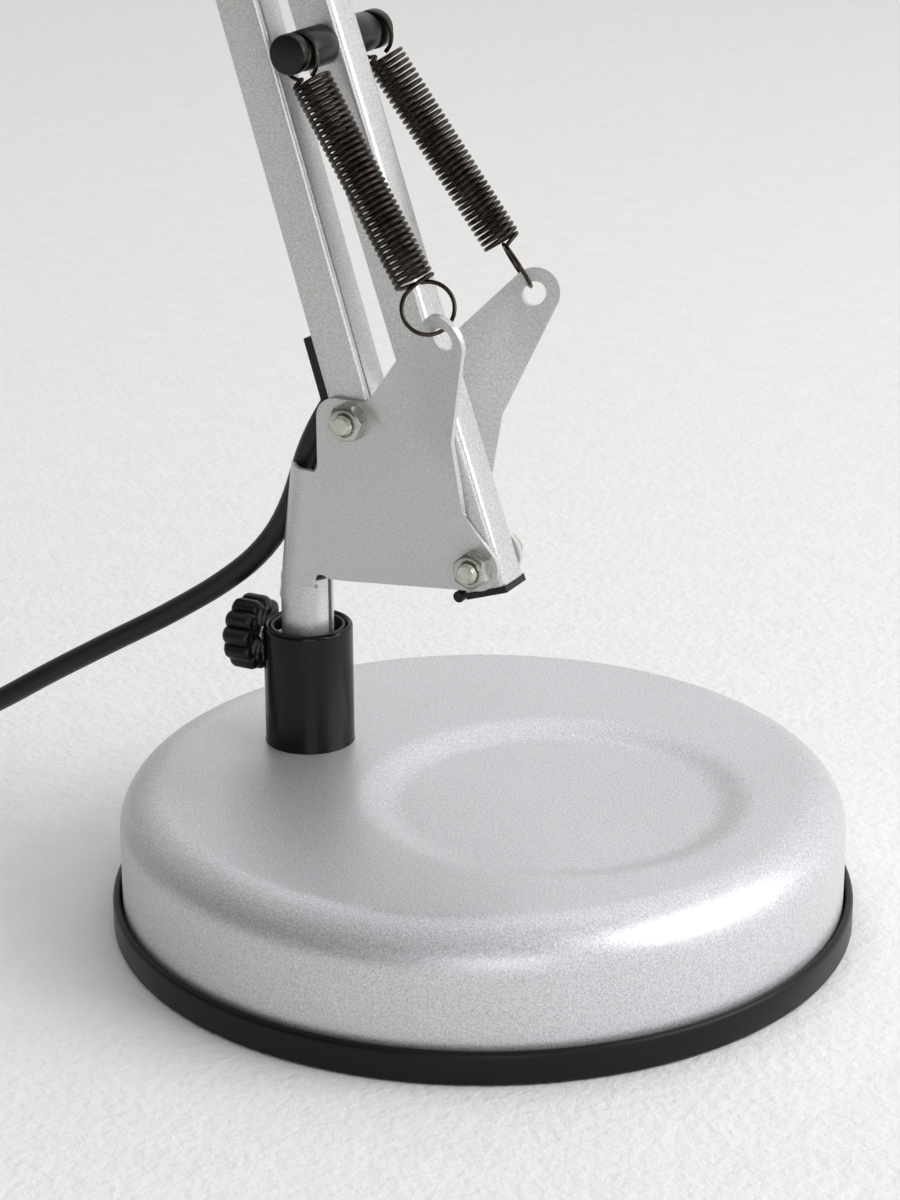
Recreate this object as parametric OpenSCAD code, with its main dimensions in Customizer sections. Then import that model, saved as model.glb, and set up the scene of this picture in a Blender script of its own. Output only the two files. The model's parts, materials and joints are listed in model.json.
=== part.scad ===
// Architect desk lamp: weighted round base, swivelling folded bracket, two parallelogram arms
// with counterbalance springs, tilting shade, and a mains cord with its spare length coiled.
// Millimetres. Origin: centre of the underside of the base. +X forward, +Z up.

/* [Base] */
// Outer radius of the black foot ring
ring_r = 90; // [80:1:110]
// Height of the foot ring
ring_h = 8.2; // [6:0.1:10]
// Outer radius of the steel cover
cover_r = 87.6; // [78:0.2:107]
// Height of the top of the cover above the table
cover_h = 35.6; // [30:0.2:45]
// Radius of the rounding round the top of the cover
cover_round = 11; // [6:0.5:14]
// Thickness of the pressed steel
cover_wall = 1.2; // [0.8:0.1:2]
// Centre of the round recess in the cover, forward and sideways
recess_at = [21.2, -2.5];
// Radius of the recess at the cover's top plane
recess_r = 47.4; // [40:0.2:50]
// Radius of the flat floor of the recess
recess_floor_r = 36.9; // [30:0.2:40]
// Depth of the recess
recess_depth = 2.5; // [1:0.1:4]

/* [Socket] */
// Distance of the socket behind the base's centre
socket_x = 48; // [40:0.5:60]
// Outer radius of the socket tube
socket_r = 11; // [10:0.1:14]
// Height of the socket's rim above the table
socket_top = 66.2; // [55:0.2:80]
// Height of the clamp knob's axis
knob_z = 61; // [50:0.5:62]
// Radius of the clamp knob over its lobes
knob_r = 9.4; // [7:0.1:12]

/* [Lower bracket] */
// Thickness of the folded sheet
sheet = 1.2; // [1:0.1:1.5]
// Outer radius of the rolled tang
tang_r = 6.4; // [6.2:0.1:6.4]
// Pivot of the rear bar, forward and up
rear_pivot = [-31.2, 121.5];
// Pivot of the front bar, forward and up
front_pivot = [1.5, 90.2];
// Top end of the line along which each ear bends outward
bend_top = [-27, 126.4];
// Bottom end of that line
bend_low = [-1.7, 102.3];
// Angle through which each ear bends outward
bend_angle = 25; // [10:1:35]
// Centre of the ear's spring hole, along and away from the bend line
ear_hole = [5.2, 40.5];

/* [Arms] */
// Backward lean of the lower arm's rear bar
rear_lean = 17.1; // [16:0.1:18]
// Backward lean of the lower arm's front bar
front_lean = 18.5; // [17:0.1:19]
// Upward angle of the upper arm above level
upper_rise = 25; // [10:1:40]
// Length of the lower bars between pivots
lower_length = 320; // [250:5:400]
// Length of the upper bars between pivots
upper_length = 280; // [220:5:360]
// Width of a bar seen from the side
bar_w = 10.8; // [10:0.1:11]
// Depth of a bar across the lamp
bar_d = 10.2; // [9:0.1:10.3]
// Wall of the channel bars
bar_wall = 1; // [0.8:0.1:1.5]
// Length of a bar beyond its pivot
bar_tail = 5.8; // [5:0.1:8]
// Upper arm's bottom pivot, from the elbow's front pivot
elbow_step = [16, 27];
// Distance between the upper arm's two pivots
upper_gap = 23.5; // [22:0.5:30]
// Direction from the upper arm's bottom pivot to its top pivot
upper_gap_angle = 105; // [95:1:115]

/* [Springs] */
// Outer radius of the spring coils
coil_r = 4.8; // [4:0.1:5.5]
// Diameter of the spring wire
wire_d = 1; // [0.8:0.1:1.3]
// Distance of the lower anchor pin from the front pivot
lower_pin_at = 125; // [100:1:140]
// Distance of the upper anchor pin from the bottom pivot
upper_pin_at = 115; // [90:1:130]
// The elbow's spring studs, from the upper arm's bottom pivot
upper_stud = [6.3, 35.5];
// Half distance between the grooves of an anchor pin
groove_y = 16.2; // [14:0.2:20]
// Half distance between the grooves of the elbow's spring studs
stud_groove_y = 16.2; // [14:0.2:20]

/* [Head] */
// Forward tilt of the head
head_tilt = 10; // [0:1:30]
// Radius of the shade's rim
shade_r = 78; // [60:1:90]
// Height of the shade's bell
shade_h = 112; // [90:1:130]
// Radius of the shade's neck
neck_r = 26; // [24:0.5:30]
// Tilt pivot, from the upper arm's bottom end pivot
head_step = [30, 18];

/* [Cord] */
// Diameter of the mains cord
cord_d = 5.6; // [5:0.1:7]
// Centre of the coil of spare cord on the table
coil_at = [-262, -29];
// Radius of the coil at the middle of its turns
coil_mid_r = 33.6; // [28:0.1:34]
// Turns in each of the coil's two layers
coil_turns = 3.25; // [2.25:1:3.25]

/* [Hidden] */
$fn = 64;

silver = [0.72, 0.73, 0.74];
black = [0.08, 0.08, 0.09];
zinc = [0.75, 0.76, 0.72];

// Bars, plates and bolts
gap_y = bar_d / 2 + 0.2;
plate_y = gap_y + sheet;
fold_r = plate_y + 0.08;
bolt_r = 2.5;
bolt_hole_r = 2.58;
loose_hole_r = 3.4;
nut_af = 8;
nut_h = 4;
bolt_out = 1.8;
head_h = 3.5;

// Directions and pivots in the arm plane, as [forward, up]
rear_dir = [-sin(rear_lean), cos(rear_lean)];
front_dir = [-sin(front_lean), cos(front_lean)];
upper_dir = [cos(upper_rise), sin(upper_rise)];
elbow_rear = rear_pivot + lower_length * rear_dir;
elbow_front = front_pivot + lower_length * front_dir;
bottom_pivot = elbow_front + elbow_step;
top_pivot = bottom_pivot + upper_gap * [cos(upper_gap_angle), sin(upper_gap_angle)];
wrist_bottom = bottom_pivot + upper_length * upper_dir;
wrist_top = top_pivot + upper_length * upper_dir;
tilt_pivot = wrist_bottom + head_step;

// Points given along and out of the open side of the two bars that carry the cord
function on_rear_bar(x, z) = let (p = rear_pivot + x * rear_dir - z * [rear_dir.y, -rear_dir.x])
    [p.x, 0, p.y];
function on_top_bar(x, z) = let (p = top_pivot + x * upper_dir + z * [-upper_dir.y, upper_dir.x])
    [p.x, 0, p.y];

// Ears of the lower bracket
bend_vec = bend_low - bend_top;
bend_len = norm(bend_vec);
bend_dir = bend_vec / bend_len;
bend_up = [-bend_dir.y, bend_dir.x];
ear_mid_y = gap_y + sheet / 2;
ear_hole_y = ear_mid_y + ear_hole.y * sin(bend_angle);
ear_hole_xz = bend_top + ear_hole.x * bend_dir + ear_hole.y * cos(bend_angle) * bend_up;
ear_hole_r = 2.75;

// Anchor pins and springs
pin_r = 4.6;
pin_shaft_r = 2.95;
pin_half = 20.8;
groove_r = 3.3;
groove_w = 2.8;
lower_pin = front_pivot + lower_pin_at * front_dir;
upper_pin = bottom_pivot + upper_pin_at * upper_dir;
stud_xz = bottom_pivot + upper_stud;
stud_neck_r = 2;
top_loop_r = 5.2;
low_loop_r = 5.9;
loop_rest = 1.2;
ear_seat = 1.8;

// Head
housing_top = 28;
neck_z = 58;
switch_x = 17.8;

// Cord clips on the elbow and the head bracket: the cord's hole, its direction and the foot's rivet
cord_r = cord_d / 2;
elbow_clip = elbow_rear + [15, 23];
elbow_clip_dir = 25;
head_clip = wrist_top + [19, 10];
head_clip_dir = 5;
clip_half = 2.8;
clip_drop = 9;
rivet_r = 1.95;
elbow_rivet = elbow_clip + clip_drop * [0.52, -0.86];
head_rivet = head_clip - clip_drop * [0.13, 0.99];

// Cord from the chute on the rear bar to a point beside the bracket, as [x, y, z] points
bend_path = [
    [-37, 0, 127.5], [-40.3, 0, 122.6], [-43.7, 0, 117], [-46.8, 0, 110.6]
];
// Mains cord from there to the coil
cord_start = [-49, 0, 104.5];
cord_path = [
    cord_start, [-51.53, 0, 97.485], [-56, 0, 89], [-62.5, 0, 81], [-72.5, 0, 72.5], [-88, 0, 62],
    [-107, 0, 50.5], [-125, 0, 39.5], [-143, 0, 28], [-162, 1.5, 17], [-183, 4.5, 8.4],
    [-206, 8.5, 3.8], [-232, 12, 2.9], [-248, 13.5, 2.9], [-262, 14, 2.9]
];
coil_pitch = 5.7;
coil_half = (coil_turns * coil_pitch + cord_d) / 2;
plug_x = coil_at.x + 26;
plug_y = coil_at.y - coil_mid_r - coil_turns * coil_pitch / 2;
plug_z = 7.1;

// ---------- helpers ----------

// Extrude an XZ outline between two Y values
module slab(y_low, y_high) {
    translate([0, y_high, 0]) rotate([90, 0, 0]) linear_extrude(y_high - y_low) children();
}

// Cylinder along Y at an XZ point
module rod_y(at, r, y_low, y_high) {
    translate([at.x, y_high, at.y]) rotate([90, 0, 0]) cylinder(r = r, h = y_high - y_low);
}

// Hexagon prism along Y at an XZ point
module hex_y(at, flats, y_low, y_high) {
    translate([at.x, y_high, at.y]) rotate([90, 0, 0])
        cylinder(r = flats / 2 / cos(30), h = y_high - y_low, $fn = 6);
}

// Move and turn so that +X runs along a bar from its pivot and +Z is the bar's open side
module along(pivot, angle) {
    translate([pivot.x, 0, pivot.y]) rotate([0, -angle, 0]) children();
}

// Move and turn so that +Z runs from one point towards another
module towards(from, to) {
    d = to - from;
    translate(from) rotate([0, acos(d.z / norm(d)), atan2(d.y, d.x)]) children();
}

function unit(v) = v / norm(v);
function turn(a) = [cos(a), sin(a)];

// Two ends of the outside tangent from circle a to circle b, each [x, y, radius]
function tangent(a, b) =
    let (
        d = [b.x - a.x, b.y - a.y],
        n = turn(atan2(d.y, d.x) - 90 + asin((a.z - b.z) / norm(d)))
    )
    [[a.x, a.y] + a.z * n, [b.x, b.y] + b.z * n];

// Flat outline that wraps circles given anticlockwise
module wrap(circles) {
    count = len(circles);
    polygon([for (i = [0:count - 1], p = tangent(circles[i], circles[(i + 1) % count])) p]);
    for (c = circles) translate([c.x, c.y]) circle(c.z);
}

// Outline with round corners made from exact arcs
module round_rect(w, h, r) {
    square([w - 2 * r, h], center = true);
    square([w, h - 2 * r], center = true);
    for (x = [-1, 1], y = [-1, 1]) translate([x * (w / 2 - r), y * (h / 2 - r)]) circle(r);
}

// Ring of round wire about local Z
module wire_ring(r) {
    rotate_extrude() translate([r, 0]) circle(wire_d / 2, $fn = 24);
}

// Tube swept along points, as one closed polyhedron
function path_dir(p, i) = unit(p[min(i + 1, len(p) - 1)] - p[max(i - 1, 0)]);
function side_of(d) = unit(cross(d, abs(d.y) > 0.9 ? [0, 0, 1] : [0, 1, 0]));
module sweep(p, r, sides) {
    last = len(p) - 1;
    rings = [
        for (i = [0:last], k = [0:sides - 1])
            let (d = path_dir(p, i), a = side_of(d), b = cross(d, a), t = 360 * k / sides)
            p[i] + r * (cos(t) * a + sin(t) * b)
    ];
    walls = [
        for (i = [0:last - 1], k = [0:sides - 1])
            let (n = (k + 1) % sides)
            [i * sides + k, (i + 1) * sides + k, (i + 1) * sides + n, i * sides + n]
    ];
    first_cap = [for (k = [0:sides - 1]) k];
    last_cap = [for (k = [sides - 1:-1:0]) last * sides + k];
    polyhedron(rings, concat(walls, [first_cap, last_cap]), convexity = 6);
}

// Channel bar from pivot to pivot, open along +Z, with a bolt hole at each end
module channel_bar(length, first_hole, last_hole) {
    corner = 1.2;
    difference() {
        translate([-bar_tail, 0, 0]) rotate([90, 0, 90]) linear_extrude(length + 2 * bar_tail)
            difference() {
                round_rect(bar_d, bar_w, corner);
                translate([0, bar_wall + corner])
                    square([bar_d - 2 * bar_wall, bar_w + 2 * corner], center = true);
            }
        rod_y([0, 0], first_hole, -bar_d, bar_d);
        rod_y([length, 0], last_hole, -bar_d, bar_d);
    }
}

// Bolts with their hexagon heads on the far side
module bolts(points) {
    for (p = points) {
        rod_y(p, bolt_r, -plate_y - nut_h - bolt_out, plate_y + 0.5);
        hex_y(p, nut_af, plate_y, plate_y + head_h);
    }
}

// Nuts on the near side
module nuts(points) {
    for (p = points) difference() {
        hex_y(p, nut_af, -plate_y - nut_h, -plate_y);
        rod_y(p, bolt_r, -plate_y - nut_h - 1, -plate_y + 1);
    }
}

// Anchor pin across a bar: a through shaft, a collar, a groove and a head on each side
module anchor_pin() {
    head_y = groove_y + groove_w / 2;
    rod_y([0, 0], pin_shaft_r, -groove_y, groove_y);
    for (side = [0, 1]) mirror([0, side, 0]) {
        rod_y([0, 0], pin_r, bar_d / 2, groove_y - groove_w / 2);
        rod_y([0, 0], groove_r, groove_y - 2, groove_y + 2);
        rod_y([0, 0], pin_r, head_y, pin_half);
    }
}

// Spring half at the pin: its loop round the groove and the coils as far as the middle
module spring_top(pin, ear) {
    span = norm(ear - pin);
    start = loop_rest + top_loop_r;
    towards(pin, ear) {
        translate([0, 0, loop_rest]) rotate([90, 0, 0]) wire_ring(top_loop_r);
        translate([0, 0, start]) difference() {
            cylinder(r = coil_r, h = span / 2 - start - 0.1);
            translate([0, 0, wire_d]) cylinder(r = coil_r - wire_d, h = span);
        }
    }
}

// Spring half at the ear: its loop through the hole, turned by roll, and the coils
module spring_low(ear, pin, roll) {
    span = norm(ear - pin);
    middle = ear_seat + low_loop_r;
    start = middle + low_loop_r;
    towards(ear, pin) {
        translate([0, 0, middle]) rotate([90, 0, roll]) wire_ring(low_loop_r);
        translate([0, 0, start]) difference() {
            cylinder(r = coil_r, h = span / 2 - start - 0.1);
            translate([0, 0, wire_d]) cylinder(r = coil_r - wire_d, h = span);
        }
    }
}

// Move and turn so that the tilt pivot is the origin and -Z runs down the head's axis
module at_head() {
    translate([tilt_pivot.x, 0, tilt_pivot.y]) rotate([0, -head_tilt, 0]) children();
}

// ---------- base ----------

module base_ring() {
    flange_h = 2;
    lip_r = cover_r + 0.3;
    color(black) rotate_extrude($fn = 128) {
        translate([ring_r - 14, 0]) square([14, flange_h]);
        translate([lip_r, 0]) square([ring_r - lip_r, ring_h]);
    }
}

module cover_solid(r, top, round_r) {
    rotate_extrude($fn = 128) {
        translate([0, 2]) square([r - round_r, top - 2]);
        translate([0, 2]) square([r, top - 2 - round_r]);
        translate([r - round_r, top - round_r]) circle(round_r);
    }
}

module recess_solid(drop) {
    translate([recess_at.x, recess_at.y, cover_h - recess_depth - drop])
        cylinder(r1 = recess_floor_r, r2 = recess_r, h = recess_depth);
}

module base_cover() {
    color(silver) difference() {
        cover_solid(cover_r, cover_h, cover_round);
        difference() {
            translate([0, 0, -cover_wall])
                cover_solid(cover_r - cover_wall, cover_h, cover_round - cover_wall);
            recess_solid(cover_wall);
            translate([recess_at.x, recess_at.y, cover_h - cover_wall])
                cylinder(r = recess_r, h = cover_wall);
        }
        translate([0, 0, -cover_wall]) cylinder(r = cover_r - cover_wall, h = 2 * cover_wall + 2);
        recess_solid(0);
        translate([-socket_x, 0, 0]) cylinder(r = socket_r + 0.1, h = cover_h + 1);
    }
}

module base_weight() {
    color("dimgray") difference() {
        translate([0, 0, 3.2]) cylinder(r = 80, h = 14);
        translate([-socket_x, 0, 0]) cylinder(r = 3.2, h = 30);
        translate([-socket_x, 0, 0]) cylinder(r = 8, h = 7.7);
        for (a = [0, 120, 240]) rotate(a) translate([66, 0, 0]) cylinder(r = 2, h = 12);
    }
}

module base_plate() {
    color(black) difference() {
        translate([0, 0, 2]) cylinder(r = 86, h = 1.2);
        for (a = [0, 120, 240]) rotate(a) translate([66, 0, 0]) cylinder(r = 2.1, h = 12);
    }
}

module base_screws() {
    color(zinc) for (a = [0, 120, 240]) rotate(a) translate([66, 0, 0]) {
        translate([0, 0, 0.5]) cylinder(r = 3.6, h = 1.5);
        translate([0, 0, 1.8]) cylinder(r = 2, h = 8);
    }
}

module base_pads() {
    color([0.2, 0.2, 0.2]) {
        cylinder(r = 8, h = 2);
        for (a = [60, 180, 300]) rotate(a) translate([62, 0, 0]) cylinder(r = 8, h = 2);
    }
}

// ---------- socket and clamp ----------

module socket_tube() {
    color(black) translate([-socket_x, 0, 0]) difference() {
        union() {
            translate([0, 0, 17.2]) cylinder(r = 15, h = 2.5);
            translate([0, 0, 17.2]) cylinder(r = socket_r, h = socket_top - 17.2);
        }
        translate([0, 0, 21.2]) cylinder(r = socket_r - 1.5, h = socket_top);
        cylinder(r = 3.2, h = 30);
        translate([0, 0, knob_z]) rotate([0, -90, 0]) cylinder(r = 3.5, h = 20);
    }
}

module socket_bush() {
    color([0.12, 0.12, 0.13]) translate([-socket_x, 0, 0]) difference() {
        translate([0, 0, 27]) cylinder(r = socket_r - 1.55, h = socket_top - 27.4);
        translate([0, 0, 20]) cylinder(r = tang_r + 0.1, h = socket_top);
        translate([0, 0, socket_top - 4]) cylinder(r = 8.2, h = 5);
        translate([0, 0, knob_z]) rotate([0, -90, 0]) cylinder(r = 2.6, h = 20);
    }
}

module socket_bolt() {
    color(zinc) translate([-socket_x, 0, 0]) {
        translate([0, 0, 3.7]) cylinder(r = 5 / cos(30), h = 4, $fn = 6);
        translate([0, 0, 7]) cylinder(r = 3, h = 19.5);
    }
}

module socket_nut() {
    color(zinc) translate([-socket_x, 0, 21.2]) difference() {
        cylinder(r = 5 / cos(30), h = 5, $fn = 6);
        translate([0, 0, -1]) cylinder(r = 3, h = 7);
    }
}

module knob_insert() {
    color(zinc) translate([-socket_x, 0, knob_z]) rotate([0, -90, 0]) difference() {
        translate([0, 0, 9.5]) cylinder(r = 3.5, h = 1.9);
        cylinder(r = 2.05, h = 20);
    }
}

module clamp_knob() {
    lobes = 11;
    color(black) translate([-socket_x - 12, 0, knob_z]) rotate([0, -90, 0]) difference() {
        union() {
            cylinder(r = knob_r - 1.1, h = 8);
            for (i = [0:lobes - 1]) rotate(i * 360 / lobes) translate([knob_r - 1.9, 0, 0])
                cylinder(r = 1.9, h = 8, $fn = 24);
        }
        translate([0, 0, -1]) difference() {
            cylinder(r = 6.4, h = 3.4);
            cylinder(r = 3.6, h = 3.4);
        }
        translate([0, 0, -1]) cylinder(r = 1.98, h = 7);
    }
}

module clamp_screw() {
    color(zinc) translate([-socket_x, 0, knob_z]) rotate([0, -90, 0])
        translate([0, 0, tang_r + 0.3]) cylinder(r = 1.98, h = 11.2);
}

// ---------- lower bracket ----------

module bracket_outline() {
    low_left = [-34.5, 81.2];
    corner = [-35.6, 121.3, 5.1];
    toe = [front_pivot.x, front_pivot.y, 5.7];
    heel = tangent([low_left.x, low_left.y, 0.01], toe);
    side = tangent(toe, [bend_low.x, bend_low.y, 0.01]);
    polygon([
        low_left, heel[1], [toe.x, toe.y], side[0], bend_low, bend_top,
        [corner.x, corner.y + corner.z], [corner.x, corner.y],
        [corner.x - corner.z, corner.y], [corner.x - corner.z, 109], [-41.6, 107.6],
        [-45.3, 107.6], [-socket_x, 81], [-socket_x, 78], [-41, 78], [-40.5, 81]
    ]);
    translate([toe.x, toe.y]) circle(toe.z + 0.02);
    translate([corner.x, corner.y]) circle(corner.z);
}

// Triangle with a round end about the spring hole, from the bend line
module ear_outline() {
    tip = [ear_hole.x, ear_hole.y, 6];
    right = tangent([bend_len, 0, 0.01], tip);
    left = tangent(tip, [0, 0, 0.01]);
    polygon([[0, 0], [bend_len, 0], [bend_len * 0.62, ear_hole.y * 0.4],
             right[1], [tip.x, tip.y], left[0]]);
    translate([tip.x, tip.y]) circle(tip.z + 0.02);
}

// Near half of the folded sheet: flat cheek and bent ear
module bracket_cheek() {
    slot = [-40.2, 79.6];
    difference() {
        slab(-plate_y, -gap_y) bracket_outline();
        rod_y(rear_pivot, bolt_hole_r, -10, 0);
        rod_y(front_pivot, bolt_hole_r, -10, 0);
        rod_y(slot, 2.2, -10, 0);
        rod_y([-42.2, 108.6], 1.2, -10, 0);
    }
    difference() {
        translate([bend_top.x, -ear_mid_y, bend_top.y])
            rotate([0, -atan2(bend_dir.y, bend_dir.x), 0]) {
                translate([-0.3, 0, 0]) rotate([0, 90, 0])
                    cylinder(r = sheet / 2 + 0.06, h = bend_len + 0.6);
                rotate([90 + bend_angle, 0, 0]) translate([0, 0, -sheet / 2])
                    linear_extrude(sheet) ear_outline();
            }
        rod_y(ear_hole_xz, ear_hole_r, -40, -10);
    }
}

// Rear half of a tube, cut a little in front of its axis so that it runs into the cheeks
module half_fold(r, h) {
    difference() {
        cylinder(r = r, h = h);
        translate([0, 0, -1]) cylinder(r = r - sheet, h = h + 2);
        translate([1.6, -r - 1, -1]) cube([r + 1, 2 * r + 2, h + 2]);
    }
}

module lower_bracket() {
    tang_low = 30;
    tang_top = 79;
    spine_lean = 6.8;
    color(silver) {
        bracket_cheek();
        mirror([0, 1, 0]) bracket_cheek();
        translate([-socket_x, 0, tang_low]) difference() {
            cylinder(r = tang_r, h = tang_top - tang_low);
            translate([0, 0, -1]) cylinder(r = tang_r - sheet, h = 80);
            translate([0, -0.8, -1]) cube([10, 1.6, 80]);
        }
        difference() {
            translate([-socket_x - 0.2, 0, tang_top - 6]) rotate([0, spine_lean, 0])
                half_fold(fold_r, 107.6 - tang_top + 6);
            translate([-60, -cord_r - 0.25, 88.5]) cube([20, cord_d + 0.5, 30]);
        }
    }
}

module bracket_bolts() {
    color(zinc) bolts([rear_pivot, front_pivot]);
}

module bracket_nuts() {
    color(zinc) nuts([rear_pivot, front_pivot]);
}

module bracket_cord() {
    color(black) sweep(concat([on_rear_bar(12, -0.6), on_rear_bar(10.4, -0.55)], bend_path,
                              [cord_start]), cord_r, 10);
}

// ---------- lower arm ----------

module lower_rear_bar() {
    color(silver) along(rear_pivot, 90 + rear_lean)
        channel_bar(lower_length, bolt_hole_r, bolt_hole_r);
}

// Black chute that brings the cord out of the channel
module rear_bar_guide() {
    width = bar_d - 2 * bar_wall - 0.1;
    color(black) along(rear_pivot, 90 + rear_lean) difference() {
        translate([4, -width / 2, 1.5]) cube([17, width, bar_w / 2 + 1.5]);
        translate([3, -cord_r - 0.1, 0]) cube([19, cord_d + 0.2, bar_w / 2 + 2]);
        translate([3, -cord_r - 0.1, 0]) cube([6, cord_d + 0.2, bar_w / 2 + 4]);
    }
}

module lower_cord_run() {
    color(black) sweep([for (x = [12.2, 60, 140, 220, lower_length - 48.2])
                  on_rear_bar(x, -0.6)],
                       cord_r, 10);
}

module lower_front_bar() {
    color(silver) difference() {
        along(front_pivot, 90 + front_lean) channel_bar(lower_length, bolt_hole_r, loose_hole_r);
        rod_y(lower_pin, pin_shaft_r + 0.05, -bar_d, bar_d);
    }
}

// Black end clip with a round-tipped tail
module front_bar_clip() {
    tail = bar_w / 2 + 3.4;
    color(black) along(front_pivot, 90 + front_lean) {
        translate([-bar_tail - 1.7, -bar_d / 2, -bar_w / 2]) cube([1.7, bar_d, bar_w + 0.4]);
        translate([-bar_tail - 1.4, -3.5, bar_w / 2]) cube([0.9, 7, 3.4]);
        rod_y([-bar_tail - 1, tail], 1.4, -3.5, 3.5);
        translate([-bar_tail - 0.1, -3.9, -bar_w / 2 + 1.2]) cube([2.6, 7.8, 1.6]);
    }
}

module lower_anchor_pin() {
    color(black) translate([lower_pin.x, 0, lower_pin.y]) anchor_pin();
}

function lower_pin_point(side) = [lower_pin.x, side * groove_y, lower_pin.y];
function lower_ear_point(side) = [ear_hole_xz.x, side * ear_hole_y, ear_hole_xz.y];

module lower_spring_coils() {
    color(black) for (side = [-1, 1]) spring_top(lower_pin_point(side), lower_ear_point(side));
}

module lower_spring_hooks() {
    rolls = [35, 85];
    color(black) for (i = [0, 1])
        spring_low(lower_ear_point(2 * i - 1), lower_pin_point(2 * i - 1), rolls[i]);
}

// ---------- elbow ----------

module elbow_plate() {
    boss = 8;
    difference() {
        slab(-plate_y, -gap_y) wrap([
            [elbow_front.x, elbow_front.y, boss], [bottom_pivot.x, bottom_pivot.y, boss],
            [stud_xz.x, stud_xz.y, 6], [elbow_rear.x, elbow_rear.y, boss]
        ]);
        for (p = [elbow_rear, elbow_front, bottom_pivot, top_pivot])
            rod_y(p, bolt_hole_r, -10, 0);
        rod_y(stud_xz, stud_neck_r, -10, 0);
        rod_y(elbow_rivet, rivet_r + 0.05, -10, 0);
    }
}

module elbow_plate_near() {
    color(silver) elbow_plate();
}

module elbow_plate_far() {
    color(silver) mirror([0, 1, 0]) elbow_plate();
}

module elbow_bolts() {
    color(zinc) bolts([elbow_rear, elbow_front, bottom_pivot, top_pivot]);
}

// Grooved studs riveted to the plates, clear of the bars between them
module elbow_spring_studs() {
    color(black) for (side = [0, 1]) mirror([0, side, 0]) {
        rod_y(stud_xz, stud_neck_r, gap_y, plate_y + 1);
        rod_y(stud_xz, 4, plate_y, stud_groove_y - groove_w / 2);
        rod_y(stud_xz, groove_r, plate_y, stud_groove_y + 2);
        rod_y(stud_xz, 4, stud_groove_y + groove_w / 2, stud_groove_y + 3.6);
    }
}

module elbow_nuts() {
    color(zinc) nuts([elbow_rear, elbow_front, bottom_pivot, top_pivot]);
}

// Clip whose foot is riveted between two plates, with the cord's hole across its head
module cord_clip(at, direction, rivet) {
    difference() {
        union() {
            slab(-gap_y + 0.02, gap_y - 0.02) wrap([[rivet.x, rivet.y, 4], [at.x, at.y, cord_r + 1.6]]);
            rod_y(rivet, rivet_r, -plate_y, plate_y);
        }
        translate([at.x, 0, at.y]) rotate([0, 90 - direction, 0])
            cylinder(r = cord_r + 0.05, h = 20, center = true);
    }
}

// Point inside a clip's hole where the cord's stretches end
function clip_end(at, direction, side) =
    [at.x + side * clip_half * cos(direction), 0, at.y + side * clip_half * sin(direction)];

module elbow_cord_clip() {
    color(black) cord_clip(elbow_clip, elbow_clip_dir, elbow_rivet);
}

module elbow_cord_rear() {
    points = [[-48, -0.6], [-46, -0.55], [-40, 0.8], [-32, 4.2], [-23, 9.5], [-12, 14.5], [0, 17],
              [9, 15], [16, 8.5], [19.5, -1], [18.8, -11]];
    color(black) sweep(concat([for (p = points) on_rear_bar(lower_length + p.x, p.y)],
                              [clip_end(elbow_clip, elbow_clip_dir, -1)]), cord_r, 10);
}

module elbow_cord_front() {
    points = [[-4, 16], [4, 15.6], [12, 13.8], [20, 11], [28, 7.5], [37, 3.2], [46, 0.3],
              [54, -0.55], [56, -0.6]];
    color(black) sweep(concat([clip_end(elbow_clip, elbow_clip_dir, 1)],
                              [for (p = points) on_top_bar(p.x, p.y)]), cord_r, 10);
}

// ---------- upper arm ----------

module upper_top_bar() {
    color(silver) along(top_pivot, upper_rise)
        channel_bar(upper_length, bolt_hole_r, bolt_hole_r);
}

module upper_cord_run() {
    color(black) sweep([for (x = [56.2, 100, 160, upper_length - 52.2])
                  on_top_bar(x, -0.6)],
                       cord_r, 10);
}

module upper_bottom_bar() {
    color(silver) difference() {
        translate([bottom_pivot.x, 0, bottom_pivot.y]) rotate([0, -upper_rise, 0])
            mirror([0, 0, 1]) channel_bar(upper_length, bolt_hole_r, loose_hole_r);
        rod_y(upper_pin, pin_shaft_r + 0.05, -bar_d, bar_d);
    }
}

module upper_anchor_pin() {
    color(black) translate([upper_pin.x, 0, upper_pin.y]) anchor_pin();
}

module bottom_bar_clips() {
    color(black) along(bottom_pivot, upper_rise) {
        for (x = [-bar_tail - 1.6, upper_length + bar_tail])
            translate([x, -bar_d / 2, -bar_w / 2]) cube([1.6, bar_d, bar_w]);
    }
}

function upper_pin_point(side) = [upper_pin.x, side * groove_y, upper_pin.y];
function stud_point(side) = [stud_xz.x, side * stud_groove_y, stud_xz.y];

module upper_spring_coils() {
    color(black) for (side = [-1, 1]) spring_top(upper_pin_point(side), stud_point(side));
}

module upper_spring_hooks() {
    color(black) for (side = [-1, 1]) spring_top(stud_point(side), upper_pin_point(side));
}

// ---------- head bracket ----------

module head_plate() {
    difference() {
        slab(-plate_y, -gap_y) wrap([
            [wrist_bottom.x, wrist_bottom.y, 8], [tilt_pivot.x, tilt_pivot.y, 9],
            [wrist_top.x, wrist_top.y, 8]
        ]);
        for (p = [wrist_bottom, wrist_top]) rod_y(p, bolt_hole_r, -30, 0);
        rod_y(tilt_pivot, 3.1, -30, 0);
        rod_y(head_rivet, rivet_r + 0.05, -30, 0);
    }
}

module head_bracket_near() {
    color(silver) head_plate();
}

module head_bracket_far() {
    color(silver) mirror([0, 1, 0]) head_plate();
}

// Two hexagon bolts, and the carriage bolt that the head tilts on
module head_bolts() {
    color(zinc) {
        bolts([wrist_bottom, wrist_top]);
        rod_y(tilt_pivot, 3, -plate_y - 5, plate_y + 0.5);
        rod_y(tilt_pivot, 5.5, plate_y, plate_y + 2.4);
    }
}

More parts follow.
